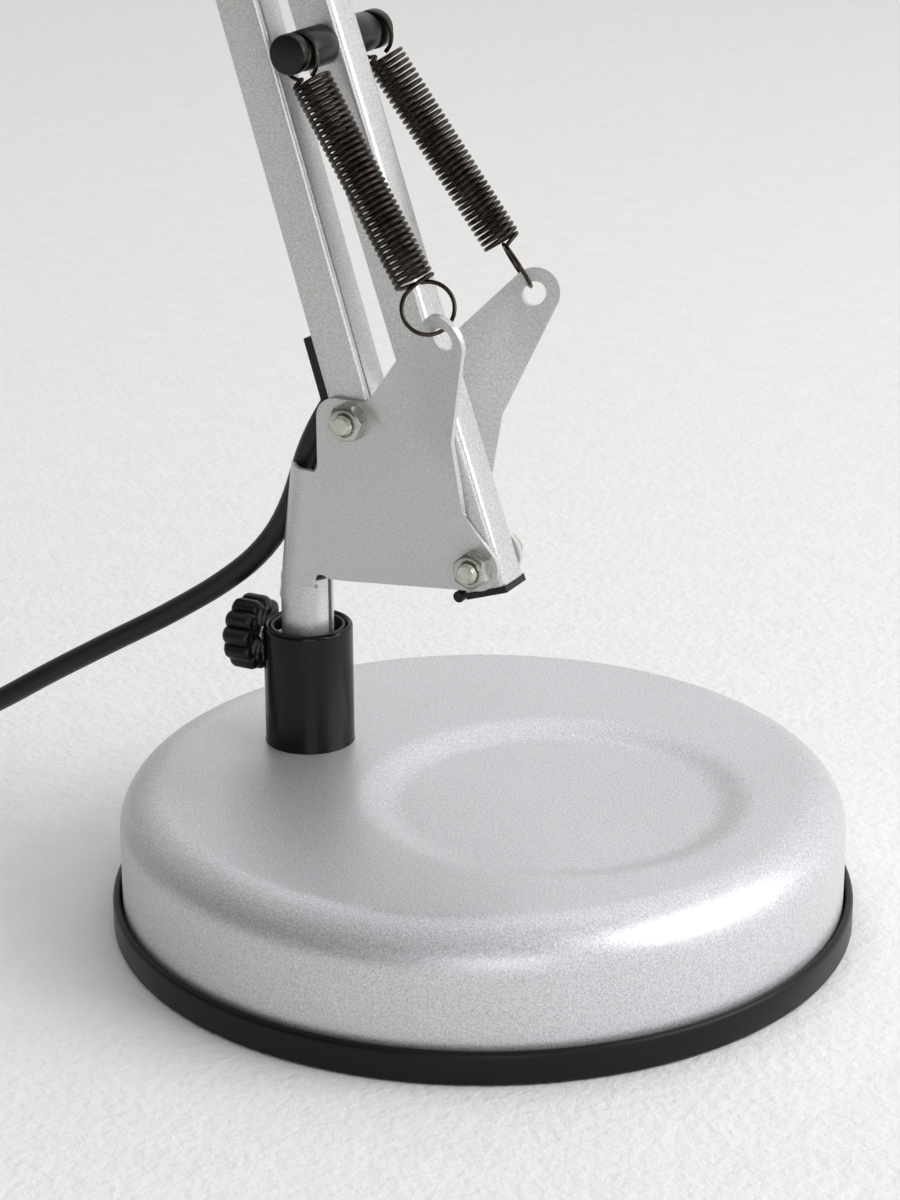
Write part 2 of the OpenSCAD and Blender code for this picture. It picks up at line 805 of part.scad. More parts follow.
module head_nuts() {
    color(zinc) nuts([wrist_bottom, wrist_top]);
}

module head_cord_clip() {
    color(black) cord_clip(head_clip, head_clip_dir, head_rivet);
}

module head_cord_rear() {
    points = [[-52, -0.6], [-50, -0.55], [-43, 0.5], [-34, 3.8], [-25, 8], [-15, 11.3],
              [-5, 12.5], [5, 11], [12, 7]];
    color(black) sweep(concat([for (p = points) on_top_bar(upper_length + p.x, p.y)],
                              [clip_end(head_clip, head_clip_dir, -1)]), cord_r, 10);
}

// Loop from the clip over the tilt pivot and down into the stem
module head_cord_front() {
    points = [[-7, 17.5], [2, 18.5], [10.5, 15.5], [16.5, 9], [18.5, 1], [17, -7], [13.8, -15.5],
              [14.82, -21.26]];
    color(black) sweep(concat([clip_end(head_clip, head_clip_dir, 1)],
                              [for (p = points) [tilt_pivot.x + p.x, 0, tilt_pivot.y + p.y]]),
                       cord_r, 10);
}

// ---------- head ----------

// Forked stem: pivot eye, foot with the cord's hole, and the swivel pin into the housing
module head_stem() {
    foot_h = 4;
    foot_z = -housing_top + 0.4;
    color(black) at_head() difference() {
        union() {
            slab(-5, 5) {
                circle(7.4);
                translate([-7.4, foot_z + 2]) square([14.8, -foot_z - 2]);
            }
            translate([0, 0, foot_z]) cylinder(r = 9, h = foot_h);
            translate([0, -5, foot_z]) cube([14.5, 10, foot_h]);
            translate([0, 0, -housing_top - 4]) cylinder(r = 5, h = 6);
            translate([0, 0, -housing_top - 5.6]) cylinder(r = 7.5, h = 2);
        }
        rod_y([0, 0], 3.06, -10, 10);
    }
}

module tilt_knob() {
    lobes = 9;
    near = -plate_y - 0.3;
    color(black) difference() {
        union() {
            rod_y(tilt_pivot, 5.5, near - 3, near);
            rod_y(tilt_pivot, 8.4, near - 11, near - 2.9);
            for (i = [0:lobes - 1])
                rod_y(tilt_pivot + 7.7 * turn(i * 360 / lobes), 1.8, near - 11, near - 2.9, $fn = 24);
        }
        rod_y(tilt_pivot, 3.06, near - 7, near + 1);
    }
}

module lamp_housing() {
    depth = 46;
    color(black) at_head() translate([0, 0, -housing_top]) difference() {
        union() {
            translate([0, 0, -10]) cylinder(r1 = 23.5, r2 = 21.5, h = 10);
            translate([0, 0, -depth]) cylinder(r = 23.5, h = depth - 9.9);
            translate([0, 0, housing_top - neck_z + 1]) cylinder(r = 25.5, h = 2.5);
        }
        translate([0, 0, -depth - 1]) cylinder(r = 21.5, h = depth - 1.5);
        translate([0, 0, -5]) cylinder(r = 5.1, h = 6);
        translate([switch_x, 0, -5]) cylinder(r = 2.8, h = 6);
    }
}

// Bell outline radius at a depth below the neck, as one quarter of a squashed circle
function bell_r(t) = neck_r + (shade_r - neck_r) * pow(sin(90 * t), 0.8);

module shade() {
    steps = 14;
    wall = 1;
    collar_r = 23.7;
    outer = [for (i = [0:steps]) [bell_r(i / steps), -shade_h * i / steps]];
    inner = [for (i = [steps:-1:1]) [bell_r(i / steps) - wall, -shade_h * i / steps]];
    color(silver) at_head() translate([0, 0, -neck_z]) rotate_extrude($fn = 96)
        polygon(concat([[collar_r, wall], [neck_r, wall]], outer, inner,
                       [[neck_r - wall, -wall], [collar_r, -wall]]));
}

// Ring that clamps the shade's flange against the housing's shoulder
module shade_ring() {
    color(black) at_head() translate([0, 0, -neck_z - 5]) difference() {
        cylinder(r = 24.8, h = 4);
        translate([0, 0, -1]) cylinder(r = 23.55, h = 6);
    }
}

module lamp_holder() {
    color([0.85, 0.84, 0.8]) at_head() translate([0, 0, -housing_top]) difference() {
        union() {
            translate([0, 0, -44]) cylinder(r = 20.5, h = 36);
            translate([0, 0, -44]) cylinder(r = 21.45, h = 4);
        }
        translate([0, 0, -45]) cylinder(r = 13.6, h = 29);
    }
}

module bulb() {
    cap_z = -housing_top - 18;
    globe_z = cap_z - 72;
    color([0.95, 0.94, 0.9]) at_head() {
        translate([0, 0, cap_z - 27]) cylinder(r = 13.2, h = 27);
        translate([0, 0, cap_z - 60.4]) cylinder(r1 = 26, r2 = 14, h = 34);
        translate([0, 0, globe_z]) sphere(r = 29);
    }
}

module switch_button() {
    flange_z = -4.4;
    color(black) at_head() translate([switch_x, 0, -housing_top]) {
        translate([0, 0, flange_z]) cylinder(r = 2.6, h = 3.5 - flange_z);
        translate([0, 0, flange_z]) cylinder(r = 3.4, h = 1.6);
    }
}

// ---------- cord ----------

module mains_cord() {
    color(black) sweep(cord_path, cord_r, 10);
}

// Outer shape of the coiled spare cord
module mains_coil() {
    color(black) translate([coil_at.x, coil_at.y, 0.1]) rotate_extrude()
        translate([coil_mid_r - coil_half, 0]) square([2 * coil_half, 2 * cord_d]);
}

// Strap round the coil's turns
module coil_tie() {
    strap = 0.9;
    width = 2 * coil_half + 0.2;
    height = 2 * cord_d + 0.2;
    color([0.3, 0.3, 0.3]) translate([coil_at.x, coil_at.y, cord_d + 0.1]) rotate(200)
        translate([coil_mid_r, 0, 0]) rotate([90, 0, 0]) difference() {
            translate([0, strap / 2, 0]) cube([width + 2 * strap, height + strap, 3], center = true);
            translate([0, -strap / 2, 0]) cube([width, height + strap, 4], center = true);
        }
}

// Flat two-pin plug with a tapered strain relief
module mains_plug() {
    relief = 22;
    body = 34;
    color(black) translate([plug_x, plug_y, plug_z]) {
        rotate([0, 90, 0]) cylinder(r1 = 3.6, r2 = 5.6, h = relief + 0.5);
        translate([0, 0, -6.9]) linear_extrude(13.8) wrap([
            [relief + 6, 0, 6.5], [relief + body - 5, -12.4, 5], [relief + body - 5, 12.4, 5]
        ]);
    }
}

module plug_pins() {
    color(zinc) for (y = [-9.3, 9.3]) translate([plug_x + 54, plug_y + y, plug_z])
        rotate([0, 90, 0]) cylinder(r = 2, h = 21);
}

base_ring();
base_cover();
base_weight();
base_plate();
base_screws();
base_pads();
socket_tube();
socket_bush();
socket_bolt();
socket_nut();
knob_insert();
clamp_knob();
clamp_screw();
lower_bracket();
bracket_bolts();
bracket_nuts();
bracket_cord();
lower_rear_bar();
rear_bar_guide();
lower_cord_run();
lower_front_bar();
front_bar_clip();
lower_anchor_pin();
lower_spring_coils();
lower_spring_hooks();
elbow_plate_near();
elbow_plate_far();
elbow_bolts();
elbow_nuts();
elbow_spring_studs();
elbow_cord_clip();
elbow_cord_rear();
elbow_cord_front();
upper_top_bar();
upper_cord_run();
upper_bottom_bar();
upper_anchor_pin();
bottom_bar_clips();
upper_spring_coils();
upper_spring_hooks();
head_bracket_near();
head_bracket_far();
head_bolts();
head_nuts();
head_cord_clip();
head_cord_rear();
head_cord_front();
head_stem();
tilt_knob();
lamp_housing();
shade();
shade_ring();
lamp_holder();
bulb();
switch_button();
mains_cord();
mains_coil();
coil_tie();
mains_plug();
plug_pins();
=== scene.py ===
import json
import math

import bmesh
import bpy
from mathutils import Matrix, Vector
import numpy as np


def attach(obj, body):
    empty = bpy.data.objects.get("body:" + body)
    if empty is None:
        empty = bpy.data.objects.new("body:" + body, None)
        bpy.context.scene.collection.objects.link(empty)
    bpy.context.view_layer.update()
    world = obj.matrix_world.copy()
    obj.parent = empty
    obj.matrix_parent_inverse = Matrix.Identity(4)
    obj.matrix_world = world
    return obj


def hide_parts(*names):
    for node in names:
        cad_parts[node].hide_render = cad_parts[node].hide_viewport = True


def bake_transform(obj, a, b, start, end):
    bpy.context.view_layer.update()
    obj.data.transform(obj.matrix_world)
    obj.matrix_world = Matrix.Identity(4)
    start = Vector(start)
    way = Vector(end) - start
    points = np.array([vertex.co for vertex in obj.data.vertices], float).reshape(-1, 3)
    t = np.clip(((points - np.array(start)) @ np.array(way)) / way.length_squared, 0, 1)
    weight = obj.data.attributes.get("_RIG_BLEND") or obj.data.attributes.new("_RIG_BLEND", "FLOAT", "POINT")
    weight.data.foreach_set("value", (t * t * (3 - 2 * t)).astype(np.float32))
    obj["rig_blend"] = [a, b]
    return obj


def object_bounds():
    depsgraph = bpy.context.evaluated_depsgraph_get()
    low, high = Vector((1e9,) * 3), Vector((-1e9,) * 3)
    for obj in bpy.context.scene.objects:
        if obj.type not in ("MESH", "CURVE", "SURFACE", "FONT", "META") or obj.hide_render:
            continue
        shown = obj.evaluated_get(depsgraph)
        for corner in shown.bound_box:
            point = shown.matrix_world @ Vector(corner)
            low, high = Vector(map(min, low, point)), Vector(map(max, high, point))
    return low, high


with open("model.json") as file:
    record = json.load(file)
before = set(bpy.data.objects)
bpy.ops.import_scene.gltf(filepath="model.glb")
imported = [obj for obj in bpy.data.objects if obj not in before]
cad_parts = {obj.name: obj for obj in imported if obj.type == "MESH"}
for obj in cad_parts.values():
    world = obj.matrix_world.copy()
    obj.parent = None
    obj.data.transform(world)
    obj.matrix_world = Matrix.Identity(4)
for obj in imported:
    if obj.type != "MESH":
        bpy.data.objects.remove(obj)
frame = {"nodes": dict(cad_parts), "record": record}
CAD_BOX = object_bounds()
RECORD = frame["record"]
SLOT_OF = {s["node"]: s["material_slot"] for s in RECORD["subparts"]}
BODY_OF = {n: b for b, nodes in RECORD["behaviour"]["bodies"].items() for n in nodes}
MM = 0.001


# ---------- camera ----------

CAMERA_AT = Vector((0.3006, -0.5901, 0.3227))
CAMERA_ROLL = math.radians(-0.23)
forward = Vector((-0.4359, 0.8316, -0.3442)).normalized()
level = Vector((0.8857, 0.4642, 0.0)).normalized()
upward = level.cross(forward).normalized()
right = level * math.cos(CAMERA_ROLL) + upward * math.sin(CAMERA_ROLL)
up = upward * math.cos(CAMERA_ROLL) - level * math.sin(CAMERA_ROLL)
camera_data = bpy.data.cameras.new("camera")
camera_data.lens = 89.5
camera_data.sensor_width = 36
camera_data.clip_start, camera_data.clip_end = 0.01, 20
camera = bpy.data.objects.new("camera", camera_data)
bpy.context.scene.collection.objects.link(camera)
camera.matrix_world = (Matrix.Translation(CAMERA_AT)
                       @ Matrix((right, up, -forward)).transposed().to_4x4())
bpy.context.scene.camera = camera


# ---------- materials ----------

def node_material(name):
    """A new material, with its tree, its shader and its texture coordinates."""
    m = bpy.data.materials.new(name)
    m.use_nodes = True
    tree = m.node_tree
    bsdf = tree.nodes["Principled BSDF"]
    where = tree.nodes.new("ShaderNodeTexCoord")
    return m, tree, bsdf, where


def noise(tree, where, scale, detail=2.0, rough=0.5):
    """Noise in the object's own coordinates, so its grain has a real size."""
    n = tree.nodes.new("ShaderNodeTexNoise")
    n.inputs["Scale"].default_value = scale
    n.inputs["Detail"].default_value = detail
    n.inputs["Roughness"].default_value = rough
    tree.links.new(where.outputs["Object"], n.inputs["Vector"])
    return n


def ramp(tree, source, stops):
    """Colours, or grey values, along source at the given stops."""
    r = tree.nodes.new("ShaderNodeValToRGB")
    while len(r.color_ramp.elements) < len(stops):
        r.color_ramp.elements.new(0.5)
    for e, (at, value) in zip(r.color_ramp.elements, stops):
        e.position = at
        e.color = (*value, 1) if hasattr(value, "__len__") else (value, value, value, 1)
    tree.links.new(source, r.inputs["Fac"])
    return r


def bump(tree, bsdf, height, strength, distance):
    b = tree.nodes.new("ShaderNodeBump")
    b.inputs["Strength"].default_value = strength
    b.inputs["Distance"].default_value = distance
    tree.links.new(height, b.inputs["Height"])
    tree.links.new(b.outputs["Normal"], bsdf.inputs["Normal"])


def map_range(tree, source, low, high, out_low, out_high):
    """Go evenly from out_low to out_high as source goes from low to high."""
    node = tree.nodes.new("ShaderNodeMapRange")
    for socket, value in (("From Min", low), ("From Max", high), ("To Min", out_low),
                          ("To Max", out_high)):
        node.inputs[socket].default_value = value
    tree.links.new(source, node.inputs["Value"])
    return node.outputs["Result"]


def silver(name, low, high, metallic=0.7, rough=(0.30, 0.40), grain=2600.0, coat=0.3):
    """Metallic powder coat: fine bright and dark flakes over a faint cloud."""
    m, tree, bsdf, where = node_material(name)
    flakes = noise(tree, where, grain, 1.0, 0.6)
    cloud = noise(tree, where, 22.0, 3.0)
    colour = ramp(tree, flakes.outputs["Fac"],
                  [(0.3, low), (0.5, [(a + b) / 2 for a, b in zip(low, high)]), (0.7, high)])
    tint = ramp(tree, cloud.outputs["Fac"], [(0.3, 0.95), (0.7, 1.0)])
    mix = tree.nodes.new("ShaderNodeMix")
    mix.data_type = "RGBA"
    mix.blend_type = "MULTIPLY"
    mix.inputs["Factor"].default_value = 1.0
    tree.links.new(colour.outputs["Color"], mix.inputs["A"])
    tree.links.new(tint.outputs["Color"], mix.inputs["B"])
    tree.links.new(mix.outputs["Result"], bsdf.inputs["Base Color"])
    shine = ramp(tree, flakes.outputs["Fac"], [(0.35, rough[0]), (0.65, rough[1])])
    tree.links.new(shine.outputs["Color"], bsdf.inputs["Roughness"])
    bsdf.inputs["Metallic"].default_value = metallic
    bsdf.inputs["Coat Weight"].default_value = coat
    bsdf.inputs["Coat Roughness"].default_value = 0.22
    bump(tree, bsdf, flakes.outputs["Fac"], 0.25, 0.00004)
    return m


def moulded(name, dark, light, rough=(0.3, 0.42), grain=900.0, depth=0.00004, coat=0.0,
            specular=0.32):
    """Moulded plastic, rubber or paint with a fine skin and a faint cloud of colour."""
    m, tree, bsdf, where = node_material(name)
    skin = noise(tree, where, grain, 2.0)
    cloud = noise(tree, where, 60.0, 3.0)
    colour = ramp(tree, cloud.outputs["Fac"], [(0.3, dark), (0.7, light)])
    tree.links.new(colour.outputs["Color"], bsdf.inputs["Base Color"])
    shine = ramp(tree, cloud.outputs["Fac"], [(0.3, rough[0]), (0.7, rough[1])])
    tree.links.new(shine.outputs["Color"], bsdf.inputs["Roughness"])
    bsdf.inputs["Coat Weight"].default_value = coat
    bsdf.inputs["Specular IOR Level"].default_value = specular
    bump(tree, bsdf, skin.outputs["Fac"], 0.3, depth)
    return m


def plated(name, dark, light, rough=(0.18, 0.34), stretch=(40.0, 900.0, 900.0)):
    """Plated steel with fine drawn marks and slightly cloudy plating."""
    m, tree, bsdf, where = node_material(name)
    mapping = tree.nodes.new("ShaderNodeMapping")
    mapping.inputs["Scale"].default_value = stretch
    tree.links.new(where.outputs["Object"], mapping.inputs["Vector"])
    marks = tree.nodes.new("ShaderNodeTexNoise")
    marks.inputs["Scale"].default_value = 1.0
    marks.inputs["Detail"].default_value = 3.0
    tree.links.new(mapping.outputs["Vector"], marks.inputs["Vector"])
    cloud = noise(tree, where, 260.0, 3.0)
    colour = ramp(tree, cloud.outputs["Fac"], [(0.3, dark), (0.7, light)])
    tree.links.new(colour.outputs["Color"], bsdf.inputs["Base Color"])
    shine = ramp(tree, marks.outputs["Fac"], [(0.3, rough[0]), (0.7, rough[1])])
    tree.links.new(shine.outputs["Color"], bsdf.inputs["Roughness"])
    bsdf.inputs["Metallic"].default_value = 1.0
    bump(tree, bsdf, marks.outputs["Fac"], 0.15, 0.00003)
    return m


def pebbled_board(name):
    """White board with a fine pebbled texture, which fades out away from the lamp."""
    m, tree, bsdf, where = node_material(name)
    pebbles = noise(tree, where, 330.0, 3.0, 0.55)
    waves = noise(tree, where, 90.0, 2.0)
    colour = ramp(tree, waves.outputs["Fac"],
                  [(0.3, (0.85, 0.85, 0.84)), (0.7, (0.88, 0.88, 0.87))])
    tree.links.new(colour.outputs["Color"], bsdf.inputs["Base Color"])
    bsdf.inputs["Roughness"].default_value = 0.75
    distance = tree.nodes.new("ShaderNodeVectorMath")
    distance.operation = "LENGTH"
    tree.links.new(where.outputs["Object"], distance.inputs[0])
    height = tree.nodes.new("ShaderNodeMath")
    height.operation = "MULTIPLY"
    tree.links.new(pebbles.outputs["Fac"], height.inputs[0])
    tree.links.new(map_range(tree, distance.outputs["Value"], 0.2, 0.9, 1.0, 0.15),
                   height.inputs[1])
    bump(tree, bsdf, height.outputs["Value"], 0.42, 0.0013)
    return m


BASE_PAINT = ((0.50, 0.51, 0.53), (0.78, 0.79, 0.82), 0.6, (0.36, 0.46), 2300.0, 0.08)
MATERIALS = {
    "silver_paint": silver("silver_paint", *BASE_PAINT),
    "silver_bars": silver("silver_bars", (0.50, 0.50, 0.50), (0.78, 0.78, 0.77)),
    "bracket_paint": silver("bracket_paint", (0.52, 0.52, 0.52), (0.74, 0.74, 0.74), 0.6,
                            (0.34, 0.44), 2600.0, 0.1),
    "shade_paint": silver("shade_paint", *BASE_PAINT),
    "black_lip": moulded("black_lip", (0.004, 0.004, 0.004), (0.006, 0.006, 0.007), (0.34, 0.44),
                         specular=0.22),
    "black_tube": moulded("black_tube", (0.0025, 0.0025, 0.0025), (0.004, 0.004, 0.004),
                          (0.16, 0.22), specular=0.24),
    "black_plastic": moulded("black_plastic", (0.005, 0.005, 0.005), (0.008, 0.008, 0.009),
                             (0.32, 0.44)),
    "black_pin": moulded("black_pin", (0.004, 0.004, 0.004), (0.007, 0.007, 0.007), (0.28, 0.38)),
    "spring_wire": plated("spring_wire", (0.016, 0.012, 0.010), (0.075, 0.058, 0.048),
                          (0.2, 0.34), (300.0, 300.0, 300.0)),
    "zinc": plated("zinc", (0.40, 0.40, 0.36), (0.62, 0.62, 0.57)),
    "cast_weight": moulded("cast_weight", (0.07, 0.07, 0.07), (0.13, 0.13, 0.13), (0.6, 0.75),
                           500.0, 0.0004),
    "pad": moulded("pad", (0.02, 0.02, 0.02), (0.035, 0.035, 0.035), (0.75, 0.85), 1200.0),
    "cord": moulded("cord", (0.008, 0.008, 0.009), (0.013, 0.013, 0.015), (0.34, 0.44), 700.0),
    "tie": moulded("tie", (0.02, 0.02, 0.02), (0.03, 0.03, 0.03), (0.4, 0.5)),
    "holder": moulded("holder", (0.62, 0.60, 0.54), (0.72, 0.70, 0.64), (0.2, 0.3), 300.0,
                      specular=0.5),
    "bulb": moulded("bulb", (0.84, 0.83, 0.79), (0.9, 0.89, 0.86), (0.12, 0.18), 200.0, 0.00002,
                    specular=0.5),
}
WHITE_INSIDE = moulded("white_inside", (0.74, 0.74, 0.72), (0.8, 0.8, 0.78), (0.4, 0.5), 900.0)
BULB_CAP = plated("bulb_cap", (0.6, 0.6, 0.58), (0.78, 0.78, 0.75))


# ---------- mesh helpers ----------

def finish_piece(name, mesh, body, slot, replaces=(), smooth_angle=40, bevel=None):
    """Make the piece, with its slot's material, its body and the nodes it stands for."""
    mesh.validate()
    obj = bpy.data.objects.new(name, mesh)
    bpy.context.scene.collection.objects.link(obj)
    mesh.materials.clear()
    mesh.materials.append(MATERIALS[slot])
    if bevel:
        smooth_angle = 32
        mod = obj.modifiers.new("edges", "BEVEL")
        mod.width = bevel * MM
        mod.segments = 3
        mod.limit_method = "ANGLE"
        mod.angle_limit = math.radians(smooth_angle)
    mesh.shade_smooth()
    mesh.set_sharp_from_angle(angle=math.radians(smooth_angle))
    if body:
        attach(obj, body)
    if replaces:
        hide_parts(*replaces)
    return obj


def make_mesh(name, verts, faces):
    """A mesh from points in millimetres."""
    mesh = bpy.data.meshes.new(name)
    mesh.from_pydata([Vector(v) * MM for v in verts], [], faces)
    return mesh


def build_piece(name, parts, body, slot, replaces=(), smooth_angle=40):
    """One piece from several parts, each a list of points and a list of faces."""
    verts, faces = [], []
    for part_verts, part_faces in parts:
        first = len(verts)
        verts += part_verts
        faces += [[i + first for i in face] for face in part_faces]
    return finish_piece(name, make_mesh(name, verts, faces), body, slot, replaces, smooth_angle)


def frame_of(direction):
    """Rotation that takes +Z to a direction, keeping +Y level as far as it can."""
    d = Vector(direction).normalized()
    az = math.atan2(d.y, d.x)
    return Matrix.Rotation(az, 3, "Z") @ Matrix.Rotation(math.acos(max(-1, min(1, d.z))), 3, "Y")


def place(part, origin, direction=(0, 0, 1)):
    """Move a part drawn along +Z so that it starts at origin and points along direction."""
    rot, o = frame_of(direction), Vector(origin)
    return [rot @ Vector(v) + o for v in part[0]], part[1]


def lathe(profile, count, radius_at=None, closed=True):
    """Revolve (radius, height) points about Z. radius_at(r, h, angle) may change each radius."""
    verts, faces = [], []
    n = len(profile)
    for i in range(count):
        a = 2 * math.pi * i / count
        for r, h in profile:
            q = radius_at(r, h, a) if radius_at else r
            verts.append(Vector((q * math.cos(a), q * math.sin(a), h)))
    for i in range(count):
        j = (i + 1) % count
        for k in range(n if closed else n - 1):
            m = (k + 1) % n
            faces.append([i * n + k, j * n + k, j * n + m, i * n + m])
    return verts, faces


def tube(points, radius, sides):
    """Round tube along points, its rings carried without twist."""
    pts = [Vector(p) for p in points]
    last = len(pts) - 1
    tangents = [(pts[min(i + 1, last)] - pts[max(i - 1, 0)]).normalized() for i in range(last + 1)]
    side = tangents[0].orthogonal().normalized()
    verts, faces = [], []
    for i, p in enumerate(pts):
        if i:
            side = tangents[i - 1].rotation_difference(tangents[i]) @ side
        side = (side - tangents[i] * side.dot(tangents[i])).normalized()
        other = tangents[i].cross(side)
        for k in range(sides):
            a = 2 * math.pi * k / sides
            verts.append(p + radius * (math.cos(a) * side + math.sin(a) * other))
    for i in range(last):
        for k in range(sides):
            m = (k + 1) % sides
            faces.append([i * sides + k, i * sides + m, (i + 1) * sides + m, (i + 1) * sides + k])
    faces.append(list(range(sides))[::-1])
    faces.append([last * sides + k for k in range(sides)])
    return verts, faces


def smooth_path(points, step):
    """Points about step millimetres apart on a centripetal spline through the given points."""
    p = [Vector(q) for q in points]
    p = [2 * p[0] - p[1]] + p + [2 * p[-1] - p[-2]]
    out = []
    for i in range(1, len(p) - 2):
        a, b, c, d = p[i - 1], p[i], p[i + 1], p[i + 2]
        t0, t1 = 0.0, max(1e-6, (b - a).length) ** 0.5
        t2 = t1 + max(1e-6, (c - b).length) ** 0.5
        t3 = t2 + max(1e-6, (d - c).length) ** 0.5
        count = max(1, round((c - b).length / step))
        for k in range(count):
            t = t1 + (t2 - t1) * k / count
            a1 = (t1 - t) / (t1 - t0) * a + (t - t0) / (t1 - t0) * b
            a2 = (t2 - t) / (t2 - t1) * b + (t - t1) / (t2 - t1) * c
            a3 = (t3 - t) / (t3 - t2) * c + (t - t2) / (t3 - t2) * d
            b1 = (t2 - t) / (t2 - t0) * a1 + (t - t0) / (t2 - t0) * a2
            b2 = (t3 - t) / (t3 - t1) * a2 + (t - t1) / (t3 - t1) * a3
            out.append((t2 - t) / (t2 - t1) * b1 + (t - t1) / (t2 - t1) * b2)
    out.append(p[-2])
    return out


def refined(node, bevel):
    """A copy of a CAD node with its flat faces joined, fine rounded edges and smooth curves."""
    mesh = frame["nodes"][node].data.copy()
    bm = bmesh.new()
    bm.from_mesh(mesh)
    bmesh.ops.remove_doubles(bm, verts=bm.verts, dist=2e-6)
    bmesh.ops.dissolve_limit(bm, angle_limit=math.radians(1.0), verts=bm.verts, edges=bm.edges)
    bm.to_mesh(mesh)
    bm.free()
    for layer in list(mesh.attributes):
        if layer.name == "custom_normal":
            mesh.attributes.remove(layer)
    return finish_piece(node + "_piece", mesh, BODY_OF[node], SLOT_OF[node], [node], bevel=bevel)


# ---------- the design's places, in millimetres ----------

def polar(length, degrees):
    """A step of this length in the XZ plane, degrees up from +X."""
    return Vector((length * math.cos(math.radians(degrees)), 0,
                   length * math.sin(math.radians(degrees))))


REAR_LEAN, FRONT_LEAN, RISE = 17.1, 18.5, 25
rear_dir, front_dir = polar(1, 90 + REAR_LEAN), polar(1, 90 + FRONT_LEAN)
upper_dir = polar(1, RISE)
rear_pivot, front_pivot = Vector((-31.2, 0, 121.5)), Vector((1.5, 0, 90.2))
LOWER, UPPER = 320, 280
elbow_rear = rear_pivot + LOWER * rear_dir
elbow_front = front_pivot + LOWER * front_dir
bottom_pivot = elbow_front + Vector((16, 0, 27))
top_pivot = bottom_pivot + polar(23.5, 105)
wrist_bottom = bottom_pivot + UPPER * upper_dir
wrist_top = top_pivot + UPPER * upper_dir
tilt_pivot = wrist_bottom + Vector((30, 0, 18))
lower_pin = front_pivot + 125 * front_dir
upper_pin = bottom_pivot + 115 * upper_dir
stud = bottom_pivot + Vector((6.3, 0, 35.5))
bend_top, bend_low = Vector((-27, 0, 126.4)), Vector((-1.7, 0, 102.3))
bend_dir = (bend_low - bend_top).normalized()
bend_up = Vector((-bend_dir.z, 0, bend_dir.x))
EAR_LEAN, EAR_LENGTH = math.radians(25), 40.5
ear_hole = bend_top + 5.2 * bend_dir + EAR_LENGTH * math.cos(EAR_LEAN) * bend_up
ear_y = 5.9 + EAR_LENGTH * math.sin(EAR_LEAN)
GROOVE_Y = 16.2
SOCKET = Vector((-48, 0, 0))
KNOB_Z = 61
PLATE_Y = 6.5
CORD_R = 2.8


def on_rear_bar(x, z):
    """A point x along the lower rear bar and z out of its open side."""
    return rear_pivot + x * rear_dir - z * Vector((rear_dir.z, 0, -rear_dir.x))


def on_top_bar(x, z):
    """A point x along the upper top bar and z above its middle."""
    return top_pivot + x * upper_dir + z * Vector((-upper_dir.z, 0, upper_dir.x))


# ---------- cords ----------

BEND = [(-37, 0, 127.5), (-40.3, 0, 122.6), (-43.7, 0, 117), (-46.8, 0, 110.6)]
CORD_START = (-49, 0, 104.5)
CORD_PATH = [
    CORD_START, (-51.53, 0, 97.485), (-56, 0, 89), (-62.5, 0, 81), (-72.5, 0, 72.5), (-88, 0, 62),
    (-107, 0, 50.5), (-125, 0, 39.5), (-143, 0, 28), (-162, 1.5, 17), (-183, 4.5, 8.4),
    (-206, 8.5, 3.8), (-232, 12, 2.9), (-248, 13.5, 2.9),
]
ON_TABLE = CORD_PATH[11]
COIL_AT, COIL_R, COIL_TURNS, COIL_PITCH = (-262, -29), 33.6, 3.25, 5.7
COIL_OUTER = COIL_R + COIL_TURNS * COIL_PITCH / 2
COIL_POINTS_PER_TURN = 48
LOW_Z, LAYER_STEP = 2.9, 5.6
PLUG = Vector((COIL_AT[0] + 26, COIL_AT[1] - COIL_OUTER, 7.1))


def coil_points():
    """Bottom layer wound inwards, a climb, then the top layer wound outwards to the plug."""
    last = round(COIL_TURNS * COIL_POINTS_PER_TURN)

    def point(radius, turns_wound, z):
        a = math.radians(90 + 360 * turns_wound)
        return Vector((COIL_AT[0] + radius * math.cos(a), COIL_AT[1] + radius * math.sin(a), z))

    out = []
    for i in range(last + 1):
        wound = i / COIL_POINTS_PER_TURN
        out.append(point(COIL_OUTER - wound * COIL_PITCH, wound, LOW_Z))
    inner = COIL_OUTER - COIL_TURNS * COIL_PITCH
    for i in range(1, last + 1):
        wound = i / COIL_POINTS_PER_TURN
        climb = LAYER_STEP * min(1, i / 20)
        drop = (LOW_Z + LAYER_STEP - PLUG.z) * max(0, (i - last + 14) / 14)
        out.append(point(inner + wound * COIL_PITCH, wound + COIL_TURNS, LOW_Z + climb - drop))
    return out


def cord_piece(node, points, body=None, step=2.5):
    """A stretch of cord along a smooth curve, and the points of that curve."""
    path = smooth_path(points, step)
    name = node + "_piece"
    return finish_piece(name, make_mesh(name, *tube(path, CORD_R, 20)), body, "cord", [node]), path


def bending_cord(node, points, bodies, start, end, step=2.5):
    """A stretch of cord that bends between two bodies, from start to end."""
    piece, path = cord_piece(node, points, step=step)
    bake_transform(piece, *bodies, start=Vector(start) * MM, end=Vector(end) * MM)
    return piece, path


def cord_loop(node, points, bodies):
    bending_cord(node, points, bodies, points[0], points[-1])


